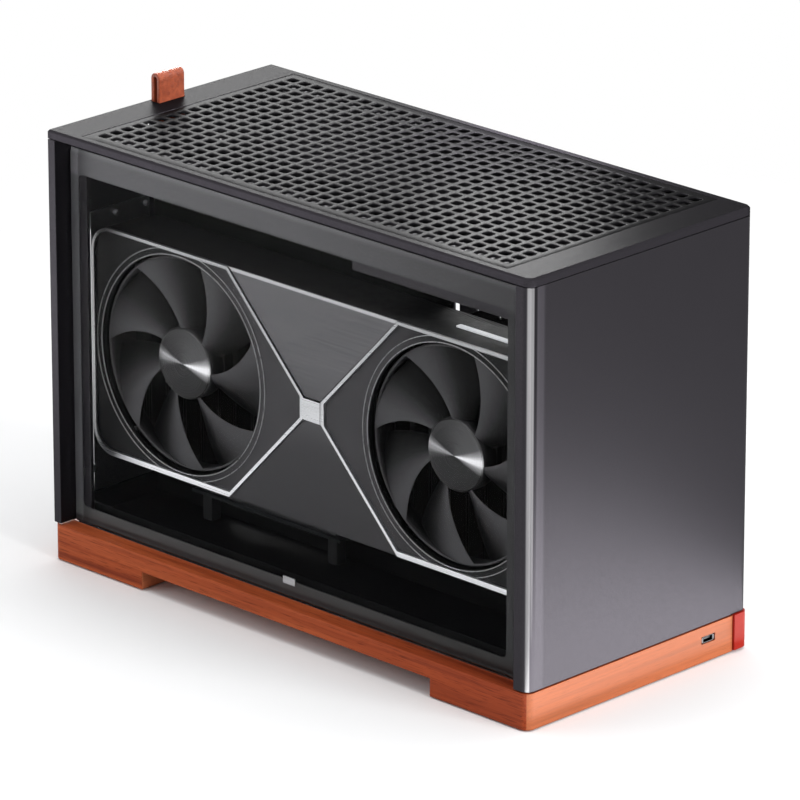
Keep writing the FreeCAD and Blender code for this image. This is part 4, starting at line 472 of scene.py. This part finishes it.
def turned_metal(name, dark, light):
    """Lathe-turned metal: fine rings about the Y axis of the piece, and two bright lobes painted into its
    colour as painted highlights.
    """
    surface = Surface(name, light, metallic=1.0, roughness=0.3, Anisotropic=0.85)
    tangent = surface.node("ShaderNodeTangent", direction_type="RADIAL", axis="Y")
    surface.join(tangent.outputs[0], surface.shader.inputs["Tangent"])
    x = surface.axis("X")
    z = surface.axis("Z")
    squares = surface.math("ADD", surface.math("MULTIPLY", x, x), surface.math("MULTIPLY", z, z))
    radius = surface.math("SQRT", squares)
    rings = surface.node("ShaderNodeTexNoise", noise_dimensions="1D")
    surface.join(radius, rings.inputs["W"])
    rings.inputs["Scale"].default_value = 5200.0
    rings.inputs["Detail"].default_value = 2.0
    round_about = surface.node("ShaderNodeTexGradient", gradient_type="RADIAL")
    flat = surface.node("ShaderNodeCombineXYZ")
    surface.join(x, flat.inputs["X"])
    surface.join(z, flat.inputs["Y"])
    surface.join(flat.outputs[0], round_about.inputs["Vector"])
    # Painted highlights: two bright lobes across the disc, painted by angle
    painted_highlight_lobes = surface.ramp(
        round_about.outputs["Fac"],
        (0.0, 0.24),
        (0.02, 0.09),
        (0.05, 0.038),
        (0.44, 0.038),
        (0.475, 0.35),
        (0.492, 1.0),
        (0.512, 1.0),
        (0.535, 0.4),
        (0.565, 0.11),
        (0.7, 0.09),
        (0.93, 0.038),
        (0.955, 0.2),
        (0.97, 0.45),
        (0.985, 0.32),
        (1.0, 0.3),
    )
    tone = surface.ramp(rings.outputs[0], (0.3, dark), (0.7, light))
    surface.colour(surface.blend("MULTIPLY", 1.0, tone, painted_highlight_lobes))
    surface.gloss(rings.outputs[0], 0.26, 0.36)
    return surface.material


def piece(name, points, faces, material, body, replaces=(), smooth=True, centre=(0, 0, 0)):
    """A mesh with points in millimetres, in the frame of the part, which moves with a body."""
    mesh = bpy.data.meshes.new(name)
    base = Vector(centre)
    mesh.from_pydata([(Vector(p) - base) * MM for p in points], [], faces)
    mesh.materials.append(material)
    mesh.update()
    if smooth:
        mesh.polygons.foreach_set("use_smooth", [True] * len(mesh.polygons))
    made = bpy.data.objects.new(name, mesh)
    made.location = base * MM
    bpy.context.scene.collection.objects.link(made)
    if smooth:
        sharpen(mesh)
    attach(made, body)
    if replaces:
        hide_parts(*replaces)


def sharpen(mesh):
    """Marks edges as sharp where faces meet at more than an angle."""
    limit = math.radians(SHARP_ANGLE)
    normals = {}
    for face in mesh.polygons:
        for key in face.edge_keys:
            normals.setdefault(key, []).append(face.normal.copy())
    for edge in mesh.edges:
        sides = normals.get(edge.key, [])
        if len(sides) == 2 and sides[0].angle(sides[1], 0) > limit:
            edge.use_edge_sharp = True


def turned(profile, steps, centre, first=0):
    """Points and faces of a closed profile of (radius, y) pairs turned about an axis along Y."""
    points = []
    faces = []
    count = len(profile)
    for step in range(steps):
        angle = 2 * math.pi * step / steps
        for radius, y in profile:
            points.append((centre[0] + radius * math.cos(angle), y, centre[2] + radius * math.sin(angle)))
    for step in range(steps):
        here = first + step * count
        there = first + (step + 1) % steps * count
        for number in range(count):
            after = (number + 1) % count
            faces.append((here + number, here + after, there + after, there + number))
    return points, faces


def rounded_profile(inner, outer, front, back, round_by):
    """Closed profile of a ring with rounded corners, as (radius, y) pairs."""
    profile = []
    for corner_r, corner_y, start in (
        (outer - round_by, front + round_by, -90),
        (outer - round_by, back - round_by, 0),
        (inner + round_by, back - round_by, 90),
        (inner + round_by, front + round_by, 180),
    ):
        for step in range(4):
            angle = math.radians(start + 30 * step)
            profile.append((corner_r + round_by * math.cos(angle), corner_y + round_by * math.sin(angle)))
    return profile


# Materials of the slots, and of the nodes and pieces that depart from their slot
SHELL_DARK = (0.026, 0.024, 0.028)
SHELL_LIGHT = (0.042, 0.039, 0.045)
LID_GRAZE = 0.05
MATERIALS = {
    "shell": blasted_metal("shell_metal", SHELL_DARK, SHELL_LIGHT, 0.4),
    "grille": blasted_metal(
        "grille_metal", (0.021, 0.02, 0.0225), (0.036, 0.0345, 0.038), 0.36, edge=0.0003, graze=LID_GRAZE
    ),
    "rail": blasted_metal("rail_metal", (0.035, 0.033, 0.036), (0.055, 0.052, 0.057), 0.45),
    "wood": red_wood(),
    "rubber": moulded_plastic("foot_rubber", (0.012, 0.012, 0.012), (0.03, 0.03, 0.03), 0.75, grain=900.0),
    "red_plastic": moulded_plastic("red_key", (0.3, 0.014, 0.007), (0.37, 0.02, 0.011), 0.5, shine=0.08),
    "black_plastic": moulded_plastic("black_plastic", (0.012, 0.012, 0.013), (0.024, 0.024, 0.025)),
    "port_steel": brushed_metal("port_steel", (0.3, 0.3, 0.31), (0.5, 0.5, 0.51), 0.32, 0),
    "board": circuit_board("riser_mask", (0.008, 0.009, 0.01), (0.02, 0.022, 0.024)),
    "inner_steel": powder_coat(
        "black_coat", (0.002, 0.002, 0.0021), (0.0045, 0.0045, 0.0048), 0.7, shine=0.03
    ),
    "leather": tan_leather(),
    "glass": smoked_glass(),
    "border": border_film(),
    "plate": brushed_metal("bare_plate", (0.3, 0.3, 0.31), (0.42, 0.42, 0.43), 0.3, 0),
    "brass": brushed_metal("brass", (0.45, 0.29, 0.09), (0.65, 0.44, 0.16), 0.3, 1),
    "card_black": shroud_coat(),
    "card_trim": silver_trim(),
    "card_panel": panel_metal(),
    "fins": stacked_fins(),
    "card_black_metal": powder_coat("card_steel", (0.006, 0.006, 0.0065), (0.013, 0.013, 0.014), 0.45),
    "light": lit_strip(),
    "fan": fan_plastic(),
}
HUB_METAL = turned_metal("hub_metal", (0.75, 0.74, 0.76), (1.0, 0.99, 1.0))
RING_METAL = brushed_metal("ring_metal", (0.25, 0.25, 0.253), (0.38, 0.38, 0.385), 0.3, 2)

for row in frame["record"]["subparts"]:
    slots = NODES[row["node"]].data.materials
    slots.clear()
    slots.append(MATERIALS[row["material_slot"]])

panel_low, panel_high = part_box("front_panel")
OWN_MATERIALS = {
    "front_panel": blasted_metal(
        "cut_shell_metal", SHELL_DARK, SHELL_LIGHT, 0.4, corner=panel_high.x + panel_low.y
    ),
    "top_cover": blasted_metal(
        "lid_metal", (0.032, 0.03, 0.034), (0.052, 0.048, 0.056), 0.4, graze=LID_GRAZE
    ),
    "usb_port": brushed_metal("black_nickel", (0.03, 0.03, 0.031), (0.06, 0.059, 0.061), 0.3, 0),
}
for node, material in OWN_MATERIALS.items():
    NODES[node].data.materials[0] = material

# Grille of the lid: a punched sheet whose holes have rolled edges, given as steps outward and down
CENTRE_X = 0.4
GRILLE_LOW = 220.6
GRILLE_TOP = 222.0
HOLES = (33, 18)
PITCH = (8.37, 7.48)
HOLE = (5.5, 4.9)
HOLE_CORNER = 1.2
HOLE_ROLL = ((0.32, 0.0), (0.1, 0.09), (0.0, 0.32))
SHEET = (141.5, 71.5)
SHEET_ROLL = ((0.5, 0.0), (0.12, 0.15), (0.0, 0.5))


def hole_outline(centre, grow):
    """Points of a rounded rectangle, four to a corner, counter-clockwise from its +X +Y corner."""
    half_x = HOLE[0] / 2 - HOLE_CORNER
    half_y = HOLE[1] / 2 - HOLE_CORNER
    points = []
    for sign_x, sign_y, start in ((1, 1, 0), (-1, 1, 90), (-1, -1, 180), (1, -1, 270)):
        for step in range(4):
            angle = math.radians(start + 30 * step)
            points.append(
                (
                    centre[0] + sign_x * half_x + (HOLE_CORNER + grow) * math.cos(angle),
                    centre[1] + sign_y * half_y + (HOLE_CORNER + grow) * math.sin(angle),
                )
            )
    return points


def punched_sheet():
    """The grille as one closed sheet: both skins share the corners of a grid of cells, one hole in each."""
    points = []
    faces = []

    def add(x, y, z):
        points.append((x, y, z))
        return len(points) - 1

    def lattice(z):
        return [
            [
                add(
                    CENTRE_X + (column - HOLES[0] / 2) * PITCH[0],
                    (line - HOLES[1] / 2) * PITCH[1],
                    z,
                )
                for line in range(HOLES[1] + 1)
            ]
            for column in range(HOLES[0] + 1)
        ]

    upper = lattice(GRILLE_TOP)
    lower = lattice(GRILLE_LOW)
    for column in range(HOLES[0]):
        for line in range(HOLES[1]):
            centre = (
                CENTRE_X + (column + 0.5 - HOLES[0] / 2) * PITCH[0],
                (line + 0.5 - HOLES[1] / 2) * PITCH[1],
            )
            levels = [(grow, GRILLE_TOP - drop) for grow, drop in HOLE_ROLL]
            levels.append((0.0, GRILLE_LOW))
            rings = [[add(x, y, z) for x, y in hole_outline(centre, grow)] for grow, z in levels]
            for grid, ring, flip in ((upper, rings[0], False), (lower, rings[-1], True)):
                corners = (
                    grid[column + 1][line + 1],
                    grid[column][line + 1],
                    grid[column][line],
                    grid[column + 1][line],
                )
                for number in range(4):
                    skin = [
                        (corners[number], ring[4 * number + step + 1], ring[4 * number + step])
                        for step in range(3)
                    ]
                    after = (number + 1) % 4
                    skin.append((corners[number], corners[after], ring[4 * after], ring[4 * number + 3]))
                    faces.extend(tuple(reversed(face)) if flip else face for face in skin)
            for above, below in zip(rings, rings[1:]):
                for step in range(16):
                    after = (step + 1) % 16
                    faces.append((above[step], above[after], below[after], below[step]))

    def rim(grid):
        """Corners of the grid's edge in order, counter-clockwise from its lowest corner."""
        edge = [grid[column][0] for column in range(HOLES[0])]
        edge += [grid[HOLES[0]][line] for line in range(HOLES[1])]
        edge += [grid[column][HOLES[1]] for column in range(HOLES[0], 0, -1)]
        edge += [grid[0][line] for line in range(HOLES[1], 0, -1)]
        return edge

    def outside(index, inset, z):
        """The point of the sheet's edge that belongs to a point of the grid's edge."""
        x, y, _ = points[index]
        half_x = HOLES[0] / 2 * PITCH[0]
        half_y = HOLES[1] / 2 * PITCH[1]
        if abs(abs(x - CENTRE_X) - half_x) < 0.01:
            x = CENTRE_X + math.copysign(SHEET[0] - inset, x - CENTRE_X)
        if abs(abs(y) - half_y) < 0.01:
            y = math.copysign(SHEET[1] - inset, y)
        return add(x, y, z)

    edge_up = rim(upper)
    edge_low = rim(lower)
    chain = [edge_up]
    for inset, drop in SHEET_ROLL:
        chain.append([outside(index, inset, GRILLE_TOP - drop) for index in edge_up])
    chain.append([outside(index, 0.0, GRILLE_LOW) for index in edge_low])
    chain.append(edge_low)
    for inner, outer in zip(chain, chain[1:]):
        for number in range(len(inner)):
            after = (number + 1) % len(inner)
            faces.append((inner[number], outer[number], outer[after], inner[after]))
    return points, faces


grille_points, grille_faces = punched_sheet()
piece("punched_grille", grille_points, grille_faces, MATERIALS["grille"], "lid", ("top_mesh",))

# Side glass: a pane with round corners and ground edges, its back a hair clear of the film
pane_low, pane_high = (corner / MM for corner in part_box("glass_panel"))
PANE_ROUND = 1.6
PANE_STEPS = 4
FRONT_GRIND = 0.6
BACK_GRIND = 0.35
FILM_ROOM = 0.1


def ground_pane():
    """The pane as four loops from its front to its back, closed by two flat faces."""
    points = []
    faces = []
    back = pane_high.y - FILM_ROOM
    loops = (
        (FRONT_GRIND, pane_low.y),
        (0.0, pane_low.y + FRONT_GRIND),
        (0.0, back - BACK_GRIND),
        (BACK_GRIND, back),
    )
    for inset, y in loops:
        reach = PANE_ROUND - inset
        for x, z, start in (
            (pane_high.x - PANE_ROUND, pane_high.z - PANE_ROUND, 0),
            (pane_low.x + PANE_ROUND, pane_high.z - PANE_ROUND, 90),
            (pane_low.x + PANE_ROUND, pane_low.z + PANE_ROUND, 180),
            (pane_high.x - PANE_ROUND, pane_low.z + PANE_ROUND, 270),
        ):
            for step in range(PANE_STEPS + 1):
                angle = math.radians(start + 90 / PANE_STEPS * step)
                points.append((x + reach * math.cos(angle), y, z + reach * math.sin(angle)))
    count = 4 * (PANE_STEPS + 1)
    for loop in range(len(loops) - 1):
        for step in range(count):
            after = (step + 1) % count
            here = loop * count
            faces.append((here + step, here + count + step, here + count + after, here + after))
    faces.append(tuple(range(count)))
    faces.append(tuple(range(len(points) - 1, len(points) - count - 1, -1)))
    return points, faces


pane_points, pane_faces = ground_pane()
piece(
    "clear_pane",
    pane_points,
    pane_faces,
    MATERIALS["glass"],
    "glass_door",
    ("glass_panel",),
    smooth=False,
)

# Lips folded down under both long edges of the lid, which shade the last holes of the grille
LIP_LEAD = 0.3
LIP_OUT = 0.5
LIP_SHEET = 0.8
LIP_FOOT = 4.0
LIP_EASE = 0.2
PLATE_UNDER = 219.6


def lid_lips():
    """An L-shaped section drawn along X, and its mirror image on the other side."""
    points = []
    faces = []
    door_low, door_high = (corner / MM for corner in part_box("side_panel"))
    inner = door_high.y + LIP_OUT
    foot = door_high.z + LIP_LEAD
    section = (
        (inner, foot + LIP_EASE),
        (inner + LIP_EASE, foot),
        (inner + LIP_SHEET - LIP_EASE, foot),
        (inner + LIP_SHEET, foot + LIP_EASE),
        (inner + LIP_SHEET, PLATE_UNDER - LIP_SHEET),
        (inner + LIP_FOOT, PLATE_UNDER - LIP_SHEET),
        (inner + LIP_FOOT, PLATE_UNDER),
        (inner, PLATE_UNDER),
    )
    count = len(section)
    for side in (1, -1):
        first = len(points)
        for x in (door_low.x, door_high.x):
            points += [(x, side * y, z) for y, z in section]
        far = first + count
        walls = []
        for step in range(count):
            after = (step + 1) % count
            walls.append((first + step, first + after, far + after, far + step))
        walls.append(tuple(range(far - 1, first - 1, -1)))
        walls.append(tuple(range(far, far + count)))
        faces += [face if side == 1 else tuple(reversed(face)) for face in walls]
    return points, faces


lip_points, lip_faces = lid_lips()
piece("lid_lips", lip_points, lip_faces, MATERIALS["shell"], "lid", smooth=False)

# Leather strap folded into a loop, with eased edges
strap_low, strap_high = (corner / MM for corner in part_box("leather_tab"))
STRAP = 2.0
STRAP_MIDDLE = (strap_low.x + strap_high.x) / 2
STRAP_LEG = 2.0
STRAP_FOOT = strap_low.z
STRAP_TOP = strap_high.z
STRAP_HALF = strap_high.y
STRAP_EASE = 0.45
LEG_STEPS = 8
BEND_STEPS = 12


def strap_path():
    """Middle line of the strap in X and Z, with the way to its outer side, up one leg and down the other."""
    line = []
    bend = STRAP_TOP - STRAP / 2 - STRAP_LEG
    heights = [STRAP_FOOT + (bend - STRAP_FOOT) * step / LEG_STEPS for step in range(LEG_STEPS + 1)]
    for height in heights:
        line.append((STRAP_MIDDLE - STRAP_LEG, height, -1.0, 0.0))
    for step in range(1, BEND_STEPS):
        angle = math.pi * step / BEND_STEPS
        line.append(
            (
                STRAP_MIDDLE - STRAP_LEG * math.cos(angle),
                bend + STRAP_LEG * math.sin(angle),
                -math.cos(angle),
                math.sin(angle),
            )
        )
    for height in reversed(heights):
        line.append((STRAP_MIDDLE + STRAP_LEG, height, 1.0, 0.0))
    return line


def strap_loop():
    """A section with eased corners, carried along the strap's middle line."""
    points = []
    faces = []
    half = STRAP / 2
    section = []
    for side, deep, start in ((1, 1, 0), (-1, 1, 90), (-1, -1, 180), (1, -1, 270)):
        for step in range(4):
            angle = math.radians(start + 30 * step)
            section.append(
                (
                    side * (STRAP_HALF - STRAP_EASE) + STRAP_EASE * math.cos(angle),
                    deep * (half - STRAP_EASE) + STRAP_EASE * math.sin(angle),
                )
            )
    path = strap_path()
    for x, z, out_x, out_z in path:
        for wide, deep in section:
            points.append((x + out_x * deep, wide, z + out_z * deep))
    count = len(section)
    for number in range(len(path) - 1):
        for step in range(count):
            after = (step + 1) % count
            faces.append(
                (
                    number * count + step,
                    number * count + after,
                    (number + 1) * count + after,
                    (number + 1) * count + step,
                )
            )
    faces.append(tuple(range(count - 1, -1, -1)))
    faces.append(tuple(range((len(path) - 1) * count, len(path) * count)))
    return points, faces


strap_points, strap_faces = strap_loop()
piece("strap_loop", strap_points, strap_faces, MATERIALS["leather"], "lid", ("leather_tab",))

# Fans of the card: swept blades between a hub and a ring, a cap on the hub, and rings round the opening
BLADES = 7
ROOT = 17.2
TIP = 53.0
LEAD_ANGLE = 98
LEAD_SWEEP = 31
TRAIL_ANGLE = 70
TRAIL_SWEEP = 11
TRAIL_DEPTH = -43.4
BLADE_RISE = 7.6
ROOT_CAMBER = 1.0
TIP_CAMBER = 1.8
EDGE_HALF = 0.12
BODY_HALF = 0.62
SPANS = 20
CHORDS = 14
# Each ring has an inner and an outer radius, a front and a back in Y, and a rounding
TIP_RING = (52.5, 53.8, -51.0, -42.0, 0.5)
HUB = (3.0, 18.0, -51.4, -41.4, 1.2)
OPENING_RINGS = (
    (55.05, 55.55, -54.4, -53.6, 0.16),
    (58.15, 58.6, -54.4, -53.6, 0.16),
)
# Outline of the cap as radius and Y
CAP = (
    (0.01, -52.4),
    (11.0, -52.45),
    (15.4, -52.3),
    (17.2, -51.9),
    (17.8, -51.2),
    (17.8, -50.6),
    (0.01, -50.6),
)
ROTOR_STEPS = 96
RING_STEPS = 128


def blade(first, turn, centre):
    """One blade as a closed skin. Angles are seen from the glass side, counter-clockwise from +X."""
    skins = []
    for side in (-1, 1):
        skin = []
        for span in range(SPANS + 1):
            out = span / SPANS
            radius = ROOT + (TIP - ROOT) * out
            lead = LEAD_ANGLE + LEAD_SWEEP * out**0.9
            trail = TRAIL_ANGLE + TRAIL_SWEEP * out
            camber = ROOT_CAMBER + (TIP_CAMBER - ROOT_CAMBER) * out
            for chord in range(CHORDS + 1):
                across = chord / CHORDS
                angle = math.radians(turn + trail + (lead - trail) * across)
                depth = TRAIL_DEPTH - BLADE_RISE * across - camber * math.sin(math.pi * across)
                thick = EDGE_HALF + BODY_HALF * math.sqrt(max(0.0, 1 - (2 * across - 1) ** 2))
                skin.append(
                    (
                        centre[0] + radius * math.cos(angle),
                        depth + side * thick,
                        centre[2] + radius * math.sin(angle),
                    )
                )
        skins.append(skin)
    points = skins[0] + skins[1]
    size = len(skins[0])
    wide = CHORDS + 1
    faces = []
    for span in range(SPANS):
        for chord in range(CHORDS):
            near = first + span * wide + chord
            faces.append((near, near + 1, near + wide + 1, near + wide))
            far = near + size
            faces.append((far, far + wide, far + wide + 1, far + 1))
        for chord in (0, CHORDS):
            near = first + span * wide + chord
            face = (near, near + wide, near + size + wide, near + size)
            faces.append(face if chord == 0 else tuple(reversed(face)))
    for span in (0, SPANS):
        for chord in range(CHORDS):
            near = first + span * wide + chord
            face = (near, near + size, near + size + 1, near + 1)
            faces.append(face if span == 0 else tuple(reversed(face)))
    return points, faces


def build_fan(side):
    """One fan: its rotor and hub cap turn, and the rings round its opening stay with the case."""
    low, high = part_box(f"{side}_fan")
    centre = ((low.x + high.x) / 2 / MM, 0, (low.z + high.z) / 2 / MM)
    points = []
    faces = []
    for number in range(BLADES):
        more_points, more_faces = blade(len(points), 360 / BLADES * number, centre)
        points += more_points
        faces += more_faces
    for ring in (TIP_RING, HUB):
        more_points, more_faces = turned(rounded_profile(*ring), ROTOR_STEPS, centre, len(points))
        points += more_points
        faces += more_faces
    piece(
        f"{side}_rotor_blades",
        points,
        faces,
        MATERIALS["fan"],
        f"{side}_rotor",
        (f"{side}_fan",),
        centre=centre,
    )
    cap_points, cap_faces = turned(CAP, ROTOR_STEPS, centre)
    piece(
        f"{side}_hub_cap",
        cap_points,
        cap_faces,
        HUB_METAL,
        f"{side}_rotor",
        centre=centre,
    )
    ring_points = []
    ring_faces = []
    for ring in OPENING_RINGS:
        more_points, more_faces = turned(rounded_profile(*ring), RING_STEPS, centre, len(ring_points))
        ring_points += more_points
        ring_faces += more_faces
    piece(f"{side}_opening_ring", ring_points, ring_faces, RING_METAL, "case")


for side in ("left", "right"):
    build_fan(side)

# Screws that hold the card's bracket to the rear panel
SCREW_PLACES = (-37.1, -16.8)
SCREW_HEIGHT = 172.5
SCREW_HEAD = 2.8
SCREW_SHAFT = 1.5
SCREW_REACH = 2.0
SCREW_STEPS = 24
PLATE_FACE = -158.2
bracket_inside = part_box("card_bracket")[1].x / MM


def bracket_screws():
    """Pan heads with a round socket outside the rear panel, and the tips of the screws inside the bracket."""
    points = []
    faces = []
    tip = bracket_inside + SCREW_REACH
    profile = (
        (0.01, PLATE_FACE - 0.9),
        (1.1, PLATE_FACE - 0.9),
        (1.25, PLATE_FACE - 1.7),
        (1.9, PLATE_FACE - 1.75),
        (SCREW_HEAD - 0.3, PLATE_FACE - 1.4),
        (SCREW_HEAD, PLATE_FACE - 0.8),
        (SCREW_HEAD, PLATE_FACE),
        (SCREW_SHAFT, PLATE_FACE),
        (SCREW_SHAFT, tip - 0.4),
        (SCREW_SHAFT - 0.4, tip),
        (0.01, tip),
    )
    for place in SCREW_PLACES:
        more_points, more_faces = turned(profile, SCREW_STEPS, (place, 0, SCREW_HEIGHT), len(points))
        points += [(along, across, up) for across, along, up in more_points]
        faces += [tuple(reversed(face)) for face in more_faces]
    return points, faces


screw_points, screw_faces = bracket_screws()
piece("bracket_screws", screw_points, screw_faces, MATERIALS["port_steel"], "case")

# Pale floor that fades into the white background
REACH = 3
floor_mesh = bpy.data.meshes.new("floor")
floor_mesh.from_pydata(
    [(-REACH, -REACH, 0), (REACH, -REACH, 0), (REACH, REACH, 0), (-REACH, REACH, 0)], [], [(0, 1, 2, 3)]
)
floor = bpy.data.objects.new("floor", floor_mesh)
bpy.context.scene.collection.objects.link(floor)
ground = Surface("pale_floor", (0.9, 0.9, 0.9), roughness=0.9, Specular_IOR_Level=0.0)
ground.colour(ground.ramp(ground.noise(6.0), (0.3, 0.89), (0.7, 0.91)))
away = ground.node("ShaderNodeVectorMath", operation="LENGTH")
ground.join(ground.place, away.inputs[0])
fade = ground.ramp(away.outputs["Value"], (0.38, 0.0), (0.7, 1.0))
clear = ground.node("ShaderNodeBsdfTransparent")
fading = ground.node("ShaderNodeMixShader")
ground.join(fade, fading.inputs[0])
ground.join(ground.shader.outputs[0], fading.inputs[1])
ground.join(clear.outputs[0], fading.inputs[2])
ground.join(fading.outputs[0], ground.tree.nodes["Material Output"].inputs["Surface"])
floor_mesh.materials.append(ground.material)

# White background that metal and glass show too, and a weaker fill for all else
world = bpy.data.worlds.new("studio")
bpy.context.scene.world = world
world.use_nodes = True
sky = world.node_tree
seen = sky.nodes["Background"]
seen.inputs["Color"].default_value = (1, 1, 1, 1)
seen.inputs["Strength"].default_value = 1.0
fill = sky.nodes.new("ShaderNodeBackground")
fill.inputs["Color"].default_value = (0.97, 0.98, 1, 1)
fill.inputs["Strength"].default_value = 0.54
light_path = sky.nodes.new("ShaderNodeLightPath")
rays = light_path.outputs["Is Camera Ray"]
for kind in ("Is Glossy Ray", "Is Transmission Ray"):
    either = sky.nodes.new("ShaderNodeMath")
    either.operation = "MAXIMUM"
    sky.links.new(rays, either.inputs[0])
    sky.links.new(light_path.outputs[kind], either.inputs[1])
    rays = either.outputs[0]
mix = sky.nodes.new("ShaderNodeMixShader")
sky.links.new(rays, mix.inputs[0])
sky.links.new(fill.outputs[0], mix.inputs[1])
sky.links.new(seen.outputs[0], mix.inputs[2])
sky.links.new(mix.outputs[0], sky.nodes["World Output"].inputs["Surface"])


def soft_light(name, place, target, wide, tall, power, matt=True, gloss=True):
    """A soft box that lights matt surfaces, shows in glossy ones as a reflector card does, or both."""
    light = bpy.data.lights.new(name, "AREA")
    light.shape = "RECTANGLE"
    light.size = wide
    light.size_y = tall
    light.energy = power
    lamp = bpy.data.objects.new(name, light)
    lamp.location = place
    lamp.rotation_euler = (Vector(place) - Vector(target)).to_track_quat("Z", "Y").to_euler()
    lamp.visible_camera = False
    lamp.visible_diffuse = matt
    lamp.visible_transmission = matt
    lamp.visible_glossy = gloss
    bpy.context.scene.collection.objects.link(lamp)


# Lamps: two light matt surfaces only, one lights all, and four show only in glossy surfaces
soft_light("overhead", (-0.1, 0.2, 1.7), (0, 0, 0.1), 2.0, 2.0, 23, gloss=False)
soft_light("front_key", (1.7, 0.06, 0.7), (0.1, 0, 0.1), 0.9, 0.9, 26, gloss=False)
soft_light("glass_side", (-1.1, -1.4, 0.8), (-0.05, 0, 0.1), 1.0, 1.0, 5.0)
soft_light("behind", (-0.66, 0.4, 0.459), (-0.1, 0, 0.222), 0.4, 0.3, 9.2, matt=False)
soft_light("near_corner", (-0.035, 0.118, 0.317), (0.15, -0.07, 0.222), 0.08, 0.08, 0.84, matt=False)
soft_light("front_bounce", (0.265, 0.015, 0.004), (0.265, 0.015, 1), 0.2, 0.24, 1.12, matt=False)
soft_light("side_bounce", (-0.5, -0.42, 0.004), (-0.5, -0.42, 1), 0.4, 0.4, 1.6, matt=False)

# Camera at the photograph's viewing angle
camera_data = bpy.data.cameras.new("camera")
camera_data.lens = 315.9
camera_data.sensor_width = 36
camera_data.clip_end = 50
camera = bpy.data.objects.new("camera", camera_data)
azimuth = math.radians(44.54)
elevation = math.radians(19.8)
view_axis = Vector(
    (
        math.sin(azimuth) * math.cos(elevation),
        -math.cos(azimuth) * math.cos(elevation),
        math.sin(elevation),
    )
)
camera.location = (2.2282, -2.2612, 1.2473)
camera.rotation_euler = view_axis.to_track_quat("Z", "Y").to_euler()
bpy.context.scene.collection.objects.link(camera)
bpy.context.scene.camera = camera
bpy.context.scene.view_settings.view_transform = "Standard"
